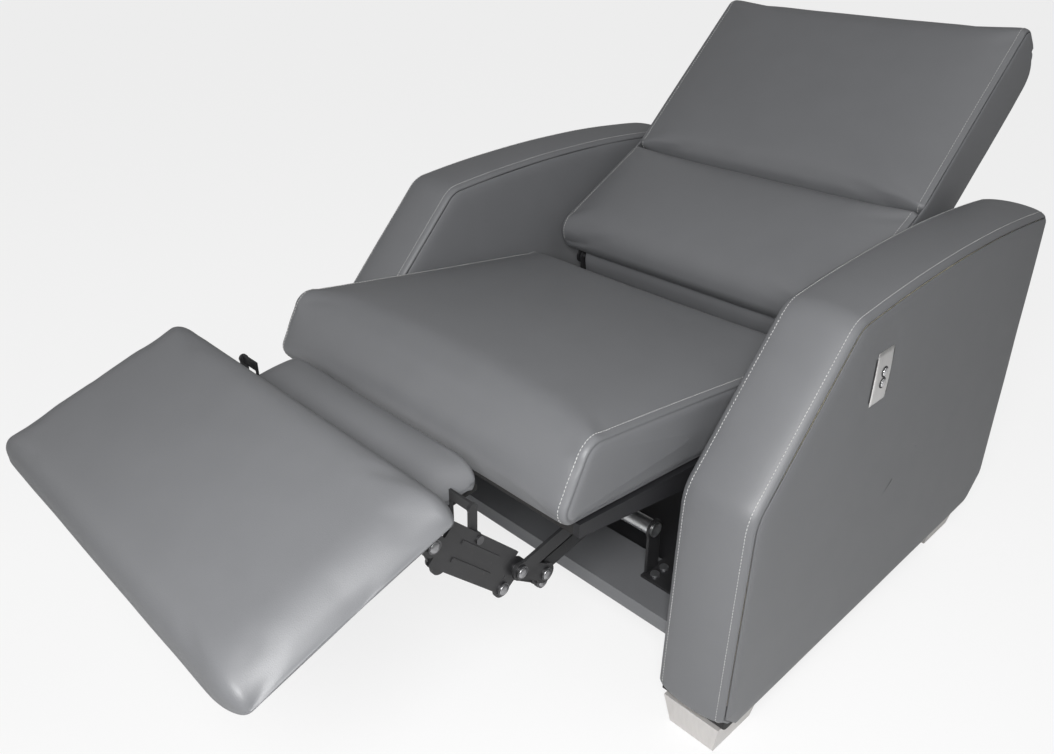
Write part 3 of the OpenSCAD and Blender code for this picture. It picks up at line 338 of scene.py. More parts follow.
def outline(corners, inset=0.0, swell=1.0, step=10.0):
    at = [np.array(c[:2], float) for c in corners]
    n = len(corners)
    points = []
    for i, (_, _, radius, crown) in enumerate(corners):
        before, here, after, later = at[i - 1], at[i], at[(i + 1) % n], at[(i + 2) % n]
        n0, n1, n2 = outward(before, here), outward(here, after), outward(after, later)
        r0 = max(radius, inset + 2.0)
        r1 = max(corners[(i + 1) % n][2], inset + 2.0)
        c0 = here - (n0 + n1) * r0 / (1 + n0 @ n1)
        c1 = after - (n1 + n2) * r1 / (1 + n1 @ n2)
        turn = math.atan2(n0[0] * n1[1] - n0[1] * n1[0], n0 @ n1)
        first = math.atan2(n0[1], n0[0])
        for k in range(ARCS + 1):
            w = first + turn * k / ARCS
            points.append(c0 + (r0 - inset) * np.array([math.cos(w), math.sin(w)]))
        start, stop = c0 + n1 * (r0 - inset), c1 + n1 * (r1 - inset)
        parts = max(2, round(np.linalg.norm(after - here) / step))
        for k in range(1, parts):
            t = k / parts
            points.append(start + (stop - start) * t + n1 * (crown * swell * 4 * t * (1 - t)))
    return np.array(points)


def corner_starts(corners, step=10.0):
    """The index at which each corner's arc begins in the outline, and how many points the outline has."""
    at = [np.array(c[:2], float) for c in corners]
    starts, count = [], 0
    for i, here in enumerate(at):
        starts.append(count)
        count += ARCS + max(2, round(np.linalg.norm(at[(i + 1) % len(at)] - here) / step))
    return starts, count


def placed(points, at, degrees):
    c, s = math.cos(math.radians(degrees)), math.sin(math.radians(degrees))
    points = np.atleast_2d(points)
    return np.column_stack([at[0] + points[:, 0] * c - points[:, 1] * s, at[1] + points[:, 0] * s + points[:, 1] * c])

# %% [markdown]
# A mesh then comes from joining ring to ring. Closed rings make a tube, and each end closes with rings that shrink
# towards its middle, which keeps the faces small enough for cloth. The object stays at the origin with its place in its
# mesh, because patterns in Object coordinates would slide on a piece that was moved.

# %% Mesh from rings
def mesh_object(name, points, faces, material, closed=True):
    data = bpy.data.meshes.new(name)
    data.from_pydata([tuple(float(v) * MM for v in p) for p in points], [], faces)
    data.update()
    shell = bmesh.new()
    shell.from_mesh(data)
    if closed:
        bmesh.ops.remove_doubles(shell, verts=shell.verts, dist=1e-6)
        bmesh.ops.recalc_face_normals(shell, faces=shell.faces)
    shell.to_mesh(data)
    shell.free()
    data.polygons.foreach_set("use_smooth", [True] * len(data.polygons))
    data.materials.append(material)
    made = bpy.data.objects.new(name, data)
    scene.collection.objects.link(made)
    return made


def grid_faces(rows, cols):
    """The quads of a grid whose points are listed row by row."""
    return [(a, a + 1, a + cols + 1, a + cols) for r in range(rows - 1) for a in range(r * cols, (r + 1) * cols - 1)]


def turned_faces(count, sides, ring=False):
    """The faces of a profile of that many points, turned round. A ring closes on itself, anything else has two ends."""
    pairs = [(i, (i + 1) % count) for i in range(count - (not ring))]
    faces = [(i * sides + k, i * sides + (k + 1) % sides, j * sides + (k + 1) % sides, j * sides + k)
             for i, j in pairs for k in range(sides)]
    if not ring:
        faces += [tuple(range(sides))[::-1], tuple(range((count - 1) * sides, count * sides))]
    return faces


def joined_rings(rings, rounds=(8, 8), bulge=(0.0, 0.0)):
    """Points and faces of a tube through rings of equal length. Each end closes with that many shrinking rounds, which
    stand out by its bulge. The last round is laced shut from one end of its long way to the other, which keeps every
    point of the mesh on a few edges only; subdivision is very slow where hundreds of edges meet."""
    rings = [np.asarray(r, float) for r in rings]
    m = len(rings[0])

    def shrunk(ring, away, count, height):
        middle = ring.mean(0)
        return [middle + (ring - middle) * (1 - k / count) + away * height * (1 - (1 - k / count) ** 2)
                for k in range(1, count)]

    first, last = unit(rings[0].mean(0) - rings[1].mean(0)), unit(rings[-1].mean(0) - rings[-2].mean(0))
    rings = shrunk(rings[0], first, rounds[0], bulge[0])[::-1] + rings + shrunk(rings[-1], last, rounds[1], bulge[1])
    points, faces = np.concatenate(rings), []
    for i in range(len(rings) - 1):
        for j in range(m):
            k = (j + 1) % m
            faces.append((i * m + j, i * m + k, (i + 1) * m + k, (i + 1) * m + j))
    for base, ring in ((0, rings[0]), ((len(rings) - 1) * m, rings[-1])):
        spread = ring - ring.mean(0)
        way = spread[np.argmax((spread ** 2).sum(1))]
        top = int(np.argmax(spread @ way))
        left, right = [base + (top - i) % m for i in range(m)], [base + (top + i) % m for i in range(m)]
        for i in range((m + 1) // 2):
            corners = list(dict.fromkeys([left[i], right[i], right[i + 1], left[i + 1]]))
            if len(corners) > 2:
                faces.append(tuple(corners))
            if right[i + 1] == left[i + 1] or right[i + 1] == left[i]:
                break
    return points, faces

# %% [markdown]
# ## Finishing a mesh
# A few small steps come back on every cover. `applied` turns a live modifier into plain mesh. `walled` gives a sheet
# its thickness. `smoothed` adds one level of subdivision. `rippled` moves the surface in and out by a fraction of a
# millimetre, as hand-stretched cloth never lies quite true. `creased` stores the number `seam`, from 1 on a sewn crease
# to 0 a couple of millimetres away, which the leatherette reads to paint shade into the crease.

# %% Finishing steps
def applied(piece):
    result = bpy.data.meshes.new_from_object(piece.evaluated_get(bpy.context.evaluated_depsgraph_get()))
    piece.modifiers.clear()
    old, name = piece.data, piece.data.name
    piece.data = result
    bpy.data.meshes.remove(old)
    result.name = name
    result.polygons.foreach_set("use_smooth", [True] * len(result.polygons))
    return piece


def walled(piece, thickness_mm, offset):
    """Gives a sheet its thickness. The modifier stays live until the next step applies it."""
    wall = piece.modifiers.new("wall", "SOLIDIFY")
    wall.thickness, wall.offset = thickness_mm * MM, offset


def smoothed(piece, levels=1):
    mod = piece.modifiers.new("smooth", "SUBSURF")
    mod.levels = mod.render_levels = levels
    return applied(piece)


def spots(piece, what="co"):
    flat = np.zeros(len(piece.data.vertices) * 3, np.float32)
    if what == "co":
        piece.data.vertices.foreach_get("co", flat)
    else:
        piece.data.vertex_normals.foreach_get("vector", flat)
    return flat.reshape(-1, 3).astype(float)


def put(piece, points):
    piece.data.vertices.foreach_set("co", np.asarray(points, np.float32).ravel())
    piece.data.update()


def rippled(piece, height_mm=0.35, size_mm=70.0):
    at, facing = spots(piece), spots(piece, "normal")
    lift = np.array([noise.noise(Vector(p) / (size_mm * MM)) for p in at]) * height_mm * MM
    put(piece, at + facing * lift[:, None])
    return piece


def fine(line, gap=1.0):
    """A polyline in millimetres with a point at least every gap."""
    line = np.asarray(line, float)
    length = np.r_[0, np.cumsum(np.linalg.norm(np.diff(line, axis=0), axis=1))]
    s = np.linspace(0, length[-1], max(2, int(length[-1] / gap)))
    return np.column_stack([np.interp(s, length, line[:, a]) for a in range(3)])


def creased(piece, lines, width_mm=1.4):
    dots = np.concatenate([fine(line) for line in lines]) * MM
    tree = KDTree(len(dots))
    for i, dot in enumerate(dots):
        tree.insert(dot, i)
    tree.balance()
    near = np.array([tree.find(p)[2] for p in spots(piece)]) / (width_mm * MM)
    # This number paints shade into the sewn crease through the leatherette's colour.
    stored = piece.data.attributes.get("seam") or piece.data.attributes.new("seam", "FLOAT", "POINT")
    stored.data.foreach_set("value", np.exp(-near ** 2).astype(np.float32))
    return piece

# %% [markdown]
# ## Stuffing a pad
# Foam under a stretched cover swells between the seams and stays put along them. Blender's Cloth does this well: the
# air pressure inside a closed mesh pushes the cover out, and the vertices in the group `held` keep the seams down. The
# result is read back from the evaluated mesh, softened so that no point moves further than a limit, and then the
# modifier goes, so what is left is a plain mesh.

# %% Cloth that stuffs a pad
def stuffed(piece, held, limit_mm, pressure=4.0, frames=20):
    before = spots(piece)
    group = piece.vertex_groups.new(name="held")
    group.add([int(i) for i in held], 1.0, "REPLACE")
    cloth = piece.modifiers.new("stuffing", "CLOTH")
    setup = cloth.settings
    setup.quality = 4
    setup.mass = 0.3
    setup.vertex_group_mass = "held"
    setup.use_pressure = True
    setup.uniform_pressure_force = pressure
    setup.effector_weights.gravity = 0.0
    cloth.collision_settings.use_collision = False
    cloth.point_cache.frame_start, cloth.point_cache.frame_end = 1, frames
    for number in range(1, frames + 1):
        scene.frame_set(number)
    evaluated = piece.evaluated_get(bpy.context.evaluated_depsgraph_get())
    after = np.zeros(len(before) * 3, np.float32)
    evaluated.data.vertices.foreach_get("co", after)
    scene.frame_set(1)
    piece.modifiers.remove(cloth)
    piece.vertex_groups.remove(group)
    move = after.reshape(-1, 3) - before
    reach = np.linalg.norm(move, axis=1, keepdims=True)
    limit = limit_mm * MM
    put(piece, before + move * np.where(reach > 1e-9, limit * np.tanh(reach / limit) / np.maximum(reach, 1e-9), 0))
    print(piece.name, "cloth moved up to", round(float(reach.max()) / MM, 1), "mm, kept under", limit_mm, "mm")

# %% [markdown]
# ## Sewn pads
# The main panel of a pad wraps from its front to its rear, and a side panel closes each end. Where the two meet, the
# cover is pulled down into a narrow groove. An edge is a list of how far a ring stands inside the pad's half width and
# how far it is drawn in from the outline. The seat's edge goes down into the seam and comes up again on the side panel.
# The two back pads stop in the seam, because their side panel belongs to the cover of the back. The footrest and the
# small flap have no seam in sight and just round over, more from above than from below.

# %% Pad builder
sewn_edge = [(30, 0.0), (20, 0.0), (13, 0.3), (8.5, 1.0), (5.2, 2.6), (3.4, 4.8), (2.9, 6.4), (3.5, 7.8), (2.0, 9.4),
             (0.9, 12.5), (0.3, 17.0)]
tucked_edge = [(30, 0.0), (20, 0.0), (13, 0.3), (8.5, 1.0), (5.2, 2.6), (3.4, 4.8), (2.9, 6.4), (4.6, 7.6),
               (6.8, 8.8), (7.6, 13.0)]
plain_edge = [(48, 0.0), (36, 0.5), (26, 1.7), (18, 3.7), (11, 6.5), (6, 9.6), (2.6, 12.8), (0.7, 16.0), (0.1, 17.8)]
SEAM = 6


def pad(name, corners, half, at, degrees, edge, draw, flat, step, sink):
    """A padded form: rings of the outline across X, with the edge's rings at both ends. Also says for each point which
    ring of the edge it belongs to and its place round the outline, both -1 elsewhere."""
    full = outline(corners, 0, 1, step)
    low, high = full[:, 0].min(), full[:, 0].max()
    inner = half - edge[0][0]
    parts = max(4, round(2 * inner / (step * 1.25)))
    stations = [(-half + e[0], e[1], k) for k, e in reversed(list(enumerate(edge)))]
    stations += [(-inner + 2 * inner * k / parts, 0.0, -1) for k in range(1, parts)]
    stations += [(half - e[0], e[1], k) for k, e in enumerate(edge)]
    rings, ring_of = [], []
    for x, inset, k in stations:
        side = outline(corners, inset, flat * (1 - (x / half) ** 2), step)
        side[:, 1] -= sink * inset
        t = np.clip((side[:, 0] - low) / (high - low), 0, 1)
        rings.append(np.column_stack([x * (1 - draw / half * 4 * t * (1 - t)), placed(side, at, degrees)]))
        ring_of += [k] * len(side)
    rounds = 6
    points, faces = joined_rings(rings, (rounds, rounds))
    fan = [len(edge)] * (len(full) * (rounds - 1))
    ring_of, round_of = np.array(fan + ring_of + fan), np.arange(len(points)) % len(full)
    return mesh_object(name, points, faces, cover), ring_of, round_of


def seam_lines(corners, half, at, degrees, draw, step, in_x, inset, order=None):
    """The closed line that stands in_x inside the half width and inset inside the outline, on both ends."""
    full = outline(corners, 0, 1, step)
    low, high = full[:, 0].min(), full[:, 0].max()
    side = outline(corners, inset, 0.06, step)
    t = np.clip((side[:, 0] - low) / (high - low), 0, 1)
    x = (half - in_x) * (1 - draw / half * 4 * t * (1 - t))
    yz = placed(side, at, degrees)
    order = list(range(len(side))) + [0] if order is None else order
    return [np.column_stack([sign * x, yz])[order] for sign in (1, -1)]

# %% [markdown]
# The five pads and their corners. The outline of each repeats the CAD's, so the cover lies on the solid that it stands
# for. The outline gives it a swell and the cloth adds a few millimetres, because the real pads are taut.

# %% The five pads
lumbar_place, upper_place = ((209, 463), 27.2), ((424, 571), 41.8)
SEAT_HALF, BACK_HALF = 283, 276
SEAT_STEP, LUMBAR_STEP, UPPER_STEP = 11.0, 9.0, 10.0
seat_corners = [(-336, 391, 15, 0), (172, 344, 15, 0), (172, 425, 24, 12), (-309, 490, 30, 4), (-352, 408, 20, 0)]
lumbar_corners = [(0, -60, 14, 0), (236, -60, 8, 0), (236, 0, 12, 16), (0, 0, 30, 3)]
upper_corners = [(-1, -65, 8, 0), (362, -65, 14, 0), (354, 0, 24, 14), (-1, 0, 12, 0)]
rest_corners = [(-258, -37, 12, 0), (0, -37, 12, 0), (0, 0, 20, 6), (-258, 0, 20, 2)]
flap_corners = [(-78, -27, 8, 0), (0, -27, 8, 0), (0, 0, 14, 10), (-78, 0, 14, 2)]

pads = {}
for name, corners, half, at, degrees, edge, draw, flat, step, node, body, limit in (
        ("seat_cover", seat_corners, SEAT_HALF, (0, 0), 0, sewn_edge, 3.0, 0.6, SEAT_STEP, "seat_cushion",
         "carriage", 9),
        ("lumbar_cover", lumbar_corners, BACK_HALF, *lumbar_place, tucked_edge, 0.0, 0.7, LUMBAR_STEP, "lumbar_cushion",
         "back", 8),
        ("upper_back_cover", upper_corners, BACK_HALF, *upper_place, tucked_edge, 0.0, 0.6, UPPER_STEP,
         "upper_back_cushion", "back", 10),
        ("footrest_cover", rest_corners, 280, (-487, 511), 18.6, plain_edge, 2.0, 0.6, 10.0, "footrest_pad",
         "footrest", 3),
        ("flap_cover", flap_corners, 192, (-378, 453), 7, plain_edge[1:], 1.0, 0.9, 7.0, "flap_pad", "carrier", 4)):
    sewn = edge in (sewn_edge, tucked_edge)
    piece, ring_of, round_of = pad(name, corners, half, at, degrees, edge, draw, flat, step, 0 if sewn else 0.45)
    starts, count = corner_starts(corners, step)
    below = round_of <= starts[1] + ARCS
    held = np.flatnonzero(below | (sewn & (ring_of >= SEAM - 1)))
    stuffed(piece, held, limit)
    smoothed(piece)
    rippled(piece)
    pads[name] = piece
    if sewn:
        creased(piece, seam_lines(corners, half, at, degrees, draw, step, 2.9, 6.6))
    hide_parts(node)
    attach(piece, body)
    print(name, len(piece.data.vertices), "points,", len(held), "held while it was stuffed")

# %% [markdown]
# ## Arms
# Each arm is a slab with a padded band round its front, top and rear, sewn between an outer and an inner panel. The
# band is a little crowned and both seams lie in narrow creases just round the corner. I carry one cross-section of the
# band along the arm's outline, from the heel over the top to the toe, and each panel is rings of the same outline that
# go up out of the crease and then shrink towards the panel's middle.

# %% Arm band and panels
arm_corners = [(-168, 50, 14, 0), (556, 50, 38, 0), (594, 88, 38, 0), (570, 571, 22, 14), (0, 571, 50, 0),
               (-180, 380, 60, 0), (-190, 72, 14, 0)]
panel_corners = [(-155.5, 37.5, 14, 0), (543.5, 37.5, 38, 0), *arm_corners[2:]]
ARM_X, ARM_STEP = 354.0, 12.0
half_band = [(-50.6, 12.6), (-49.6, 10.2), (-47.6, 8.2), (-44, 6.0), (-38, 4.0), (-30, 2.3), (-20, 1.0), (-10, 0.25)]
band_section = half_band + [(0, 0.0)] + [(-x, inset) for x, inset in half_band[::-1]] + [
    (49.0, 14.0), (44.0, 15.5), (16.0, 15.5), (-16.0, 15.5), (-44.0, 15.5), (-49.0, 14.0)]
panel_section = [(48.8, 14.6), (50.3, 13.9), (50.9, 13.1), (51.8, 13.9), (53.0, 17.0), (54.0, 21.0), (54.7, 27.0),
                 (55.1, 34.0)]
arm_starts, arm_count = corner_starts(arm_corners, ARM_STEP)
wrap = [j % arm_count for j in range(arm_starts[1], arm_count + ARCS + 1)]


def arm_line(corners, dx, inset, side, order):
    yz = outline(corners, inset, 1, ARM_STEP)[order]
    return np.column_stack([np.full(len(yz), side * (ARM_X + dx)), yz])


def arm_band(name, side):
    lines = [arm_line(arm_corners, dx, inset, side, wrap) for dx, inset in band_section]
    points, faces = joined_rings(np.array(lines).transpose(1, 0, 2), (1, 1))
    return mesh_object(name, points, faces, cover)


def arm_panel(name, side, face):
    """face is 1 for the panel away from the seat and -1 for the one towards it."""
    order = list(range(len(outline(panel_corners, 0, 1, ARM_STEP))))
    rings = [arm_line(panel_corners, face * dx, inset, side, order) for dx, inset in panel_section]
    points, faces = joined_rings(rings, (2, 13), (0.0, -1.1))
    return mesh_object(name, points, faces, cover)


switch_at = Vector((0.408, 0.072, 0.472))
for arm, side in (("left", 1), ("right", -1)):
    creases = [arm_line(arm_corners, dx, 13.0, side, wrap) for dx in (50.9, -50.9)]
    for name, node, piece in ((f"{arm}_arm_band_cover", f"{arm}_arm_band", arm_band(f"{arm}_arm_band_cover", side)),
                              (f"{arm}_arm_outer_panel", f"{arm}_outer_skin",
                               arm_panel(f"{arm}_arm_outer_panel", side, 1)),
                              (f"{arm}_arm_inner_panel", f"{arm}_inner_skin",
                               arm_panel(f"{arm}_arm_inner_panel", side, -1))):
        smoothed(piece)
        rippled(piece, 0.5, 110.0)
        if node == "left_outer_skin":
            points = spots(piece)
            away = np.linalg.norm((points - np.array(switch_at)) * np.array([0, 1 / 0.040, 1 / 0.062]), axis=1)
            room = np.clip(1.25 - away, 0, 0.25) * 4
            points[:, 0] -= np.maximum(points[:, 0] - 0.4078, 0) * room
            put(piece, points)
        creased(piece, creases)
        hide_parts(node)
        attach(piece, "base")
        pads[name] = piece
        print(name, len(piece.data.vertices), "points")

# %% [markdown]
# ## Cover of the back
# Behind the two back pads lies a frame of boards, and one cover closes both sides and the rear and hangs below the
# frame as a short skirt. Seen from the side, its front edge follows the seam of both pads and its rear edge follows the
# boards. So I trace the two edges as lines with the same number of points, span a cross-section like a wide U between
# them at every point, and give the skin its thickness with Solidify.

# %% Back cover
def lumbar_at(u, depth):
    return placed([u, -depth], *lumbar_place)[0]


def upper_at(u, depth):
    return placed([u, -depth], *upper_place)[0]


def front_edge(inset, step=9.0):
    """From under the nose of the lumbar pad, up over both pads and round the far end."""
    starts, count = corner_starts(lumbar_corners, step)
    order = list(range(ARCS, -1, -1)) + list(range(count - 1, starts[2] + ARCS - 1, -1))
    low = placed(outline(lumbar_corners, inset, 0.05, step)[order], *lumbar_place)
    starts, count = corner_starts(upper_corners, step)
    high = placed(outline(upper_corners, inset, 0.05, step)[list(range(starts[3], starts[1] + 2, -1))], *upper_place)
    return np.vstack([low, high]), len(low)


def spread(line, s):
    length = np.r_[0, np.cumsum(np.linalg.norm(np.diff(line, axis=0), axis=1))]
    return np.column_stack([np.interp(np.asarray(s) * length[-1], length, line[:, a]) for a in (0, 1)])


rear_line = np.array([lumbar_at(u, d) for u, d in ((46, 93.6), (60, 95), (90, 98), (150, 101), (205, 102), (222, 102))]
                     + [upper_at(*p) for p in ((14, 107), (32, 108), (90, 109), (180, 110), (270, 109), (312, 107))]
                     + [upper_at(*p) for p in ((326, 104), (337, 98), (344, 90), (348, 82), (350, 75), (351, 69))])
edge_line, low_count = front_edge(8.0)
run = np.r_[0, np.cumsum(np.linalg.norm(np.diff(edge_line, axis=0), axis=1))]
total = np.cumsum(np.r_[0, np.linalg.norm(np.diff(rear_line, axis=0), axis=1)])
anchors = [(0, 0), (ARCS + 6 + 1 + ARCS, total[2]), (low_count - 1, total[5]), (low_count, total[6]),
           (len(edge_line) - 2 * ARCS - 8, total[11]), (len(edge_line) - 1, total[-1])]
rear_s = np.interp(run, [run[min(i, len(run) - 1)] for i, _ in anchors], [s for _, s in anchors]) / total[-1]
rear = spread(rear_line, rear_s)
skirt = np.array([(292.5, 366.0), (292.5, 376.0), (292.3, 386.0), (292.6, 394.0)])
tangent = np.gradient(np.vstack([skirt, rear]), axis=0)
normal = np.column_stack([tangent[:, 1], -tangent[:, 0]]) / np.linalg.norm(tangent, axis=1, keepdims=True)

lip = [(271.0, 9.4), (272.6, 7.9), (273.9, 7.7), (275.1, 9.6), (275.9, 13.5), (276.3, 19.0)]
lips = [front_edge(inset)[0] for _, inset in lip]
BACK_CORNER = 15.0
sections = []
for i, (back, n) in enumerate(zip(np.vstack([skirt, rear]), normal)):
    j = i - len(skirt)
    turn = back - n * BACK_CORNER
    if j < 0:
        fronts = [np.array([back[0] - 14 - 0.4 * k, back[1]]) for k in range(len(lip), 0, -1)]
        half_line = [(275.0, f) for f in fronts]
    else:
        half_line = [(x, edge[j]) for (x, _), edge in zip(lip, lips)]
    last = half_line[-1][1]
    puff = 0.0 if j < 0 else 2.2 * min(1.0, np.linalg.norm(turn - last) / 50)
    for t in (0.17, 0.34, 0.5, 0.66, 0.83, 1.0):
        half_line.append((half_line[5][0] + puff * 4 * t * (1 - t), last + (turn - last) * t))
    for w in (0.25, 0.5, 0.75, 1.0):
        c, s = math.cos(w * math.pi / 2), math.sin(w * math.pi / 2)
        half_line.append((half_line[5][0] - BACK_CORNER * (1 - c), turn + n * BACK_CORNER * s))
    for x in (215, 165, 110, 55, 0):
        half_line.append((x, back + n * 3.0 * (1 - (x / 261) ** 2)))
    full = [(x, *p) for x, p in half_line]
    sections.append(full + [(-x, y, z) for x, y, z in full[-2::-1]])
sections = np.array(sections)
rows, cols = sections.shape[:2]
back_cover = mesh_object("back_cover", sections.reshape(-1, 3), grid_faces(rows, cols), cover, closed=False)
middle = Vector((0, 0.42, 0.5))
facing = sum(f.normal.dot(f.center - middle) * f.area for f in back_cover.data.polygons)
if facing < 0:
    back_cover.data.flip_normals()
walled(back_cover, 2.2, -1.0)
smoothed(back_cover)
rippled(back_cover, 0.5, 90.0)
creased(back_cover, seam_lines(lumbar_corners, BACK_HALF, *lumbar_place, 0, LUMBAR_STEP, 2.9, 7.2)
        + seam_lines(upper_corners, BACK_HALF, *upper_place, 0, UPPER_STEP, 2.9, 7.2))
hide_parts("back_panel")
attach(back_cover, "back")
pads["back_cover"] = back_cover
print("back cover", rows, "by", cols, "then", len(back_cover.data.vertices), "points")

# %% [markdown]
# Below the nose of the lumbar pad the cover goes on as an apron, which hides the frame and the floor in the gap behind
# the seat. It is one sheet, cut short of the brackets on both sides, and it hangs in a shallow hollow.

# %% Apron under the lumbar pad
apron_line = [lumbar_at(6, 56), lumbar_at(9, 61.5), np.array((240.5, 401.0)), np.array((243.5, 388.0)),
              np.array((245.0, 376.0)), np.array((249.0, 367.0)), np.array((262.0, 364.0)), np.array((284.0, 366.0))]
APRON_X, APRON_HOLLOW, APRON_COLS = 231, 5, 34
apron_points = [(x, y + APRON_HOLLOW * math.sin(math.pi * t) * (1 - (x / APRON_X) ** 2), z)
                for t, (y, z) in zip(np.linspace(0, 1, len(apron_line)), apron_line)
                for x in np.linspace(-APRON_X, APRON_X, APRON_COLS)]
apron = mesh_object("back_apron", apron_points, grid_faces(len(apron_line), APRON_COLS), cover, closed=False)
walled(apron, 1.6, 0.0)
smoothed(apron)
rippled(apron, 1.2, 60.0)
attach(apron, "back")
print("apron", len(apron.data.vertices), "points")

# %% [markdown]
# Below the seat the photograph is black right up from the front rail, where bare floor would be light. So one black
# sheet is stretched under the two rails, a little slack in its middle, which paints in the shade under the seat.

# %% Black sheet under the rails, painted shade
SHADE_SHEET_X, SHADE_SHEET_FRONT, SHADE_SHEET_REAR, SHADE_SHEET_Z, SHADE_SHEET_SAG = 272.0, -140.0, 530.0, 126.2, 5
rows, cols = 30, 26
shade_sheet_points = [(x, y, SHADE_SHEET_Z - SHADE_SHEET_SAG * math.cos(math.pi * x / 2 / SHADE_SHEET_X) * math.sin(math.pi * t) ** 2)
                 for t, y in zip(np.linspace(0, 1, rows), np.linspace(SHADE_SHEET_FRONT, SHADE_SHEET_REAR, rows))
                 for x in np.linspace(-SHADE_SHEET_X, SHADE_SHEET_X, cols)]
# A black sheet whose only task is to paint in the shade under the seat.
shade_sheet = mesh_object("base_lining", shade_sheet_points, grid_faces(rows, cols), dark_cover, closed=False)
walled(shade_sheet, 1.2, 0.0)
smoothed(shade_sheet)
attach(shade_sheet, "base")
print("shade_sheet", len(shade_sheet.data.vertices), "points")

# %% [markdown]
# ## Stitching
# One pale thread runs beside every seam, 8 to 9 mm from the crease, with a stitch every 4.6 mm. Thousands of equal
# pieces along a path are work for Geometry Nodes: the path is resampled by length, one small spindle is set on each
# point along the tangent, and the instances are made real at the end because the export drops them. A path is first
# laid onto the finished cover, so every stitch touches the cloth however the cover swelled.

# %% Node tree for stitches
def tree_node(tree, kind, settings=None, inputs=None):
    made = tree.nodes.new(kind)
    for name, value in (settings or {}).items():
        setattr(made, name, value)
    for name, value in (inputs or {}).items():
        if isinstance(value, bpy.types.NodeSocket):
            tree.links.new(value, made.inputs[name])
        else:
            made.inputs[name].default_value = value
    return made


def new_tree(name, numbers):
    tree = bpy.data.node_groups.new(name, "GeometryNodeTree")
    tree.interface.new_socket("Geometry", in_out="INPUT", socket_type="NodeSocketGeometry")
    for label, value in numbers.items():
        tree.interface.new_socket(label, in_out="INPUT", socket_type="NodeSocketFloat").default_value = value
    tree.interface.new_socket("Geometry", in_out="OUTPUT", socket_type="NodeSocketGeometry")
    return tree, tree.nodes.new("NodeGroupInput").outputs


def close_tree(tree, geometry, finish):
    real = tree_node(tree, "GeometryNodeRealizeInstances", None, {"Geometry": geometry})
    smooth = tree_node(tree, "GeometryNodeSetShadeSmooth", None, {"Geometry": real.outputs[0]})
    done = tree_node(tree, "GeometryNodeSetMaterial", None, {"Geometry": smooth.outputs[0], "Material": finish})
    tree.links.new(done.outputs[0], tree.nodes.new("NodeGroupOutput").inputs[0])
    return tree


def grown(name, data, tree, **numbers):
    """The plain mesh that a tree makes from a mesh of points or lines."""
    seed = bpy.data.objects.new(name + "_path", data)
    scene.collection.objects.link(seed)
    mod = seed.modifiers.new(tree.name, "NODES")
    mod.node_group = tree
    for socket in tree.interface.items_tree:
        if socket.in_out == "INPUT" and socket.name in numbers:
            mod[socket.identifier] = float(numbers[socket.name])
    result = bpy.data.meshes.new_from_object(seed.evaluated_get(bpy.context.evaluated_depsgraph_get()))
    result.name = name
    bpy.data.objects.remove(seed)
    made = bpy.data.objects.new(name, result)
    scene.collection.objects.link(made)
    return made


stitch_tree, given = new_tree("stitches", {"Pitch": 4.6 * MM, "Length": 3.5 * MM, "Width": 1.0 * MM})
curve = tree_node(stitch_tree, "GeometryNodeMeshToCurve", None, {"Mesh": given["Geometry"]})
even = tree_node(stitch_tree, "GeometryNodeResampleCurve", {"mode": "LENGTH"},
                 {"Curve": curve.outputs[0], "Length": given["Pitch"]})
along = tree_node(stitch_tree, "GeometryNodeInputTangent")
turned = tree_node(stitch_tree, "FunctionNodeAlignRotationToVector", {"axis": "Z"}, {"Vector": along.outputs[0]})
ball = tree_node(stitch_tree, "GeometryNodeMeshUVSphere", None, {"Segments": 6, "Rings": 5, "Radius": 0.5})
size = tree_node(stitch_tree, "ShaderNodeCombineXYZ", None,
                 {"X": given["Width"], "Y": given["Width"], "Z": given["Length"]})
spindle = tree_node(stitch_tree, "GeometryNodeTransform", None, {"Geometry": ball.outputs[0], "Scale": size.outputs[0]})
uneven = tree_node(stitch_tree, "FunctionNodeRandomValue", {"data_type": "FLOAT"})
uneven.inputs[2].default_value, uneven.inputs[3].default_value = 0.88, 1.05
uneven.inputs["Seed"].default_value = 7
sewn_on = tree_node(stitch_tree, "GeometryNodeInstanceOnPoints", None,
                    {"Points": even.outputs[0], "Instance": spindle.outputs[0], "Rotation": turned.outputs[0],
                     "Scale": uneven.outputs[1]})
close_tree(stitch_tree, sewn_on.outputs[0], thread)
print("stitch tree", len(stitch_tree.nodes), "nodes")

# %% [markdown]
# The seams of each body then become one mesh of thread. A path is listed with the cover that it lies on.

# %% Stitch paths
def laid(line, piece, lift_mm=0.22):
    """A polyline laid onto the nearest points of a cover."""
    data = piece.data
    tree = BVHTree.FromPolygons([v.co for v in data.vertices], [tuple(f.vertices) for f in data.polygons])
    out = []
    for p in fine(line, 6.0) * MM:
        spot, facing, _, _ = tree.find_nearest(Vector(p))
        out.append(spot + facing * lift_mm * MM)
    return out


def run_of(corners, step, first, last):
    starts, count = corner_starts(corners, step)
    indexes = list(range(starts[first], starts[last] + ARCS + 1 + (count if last < first else 0)))
    return [i % count for i in indexes]


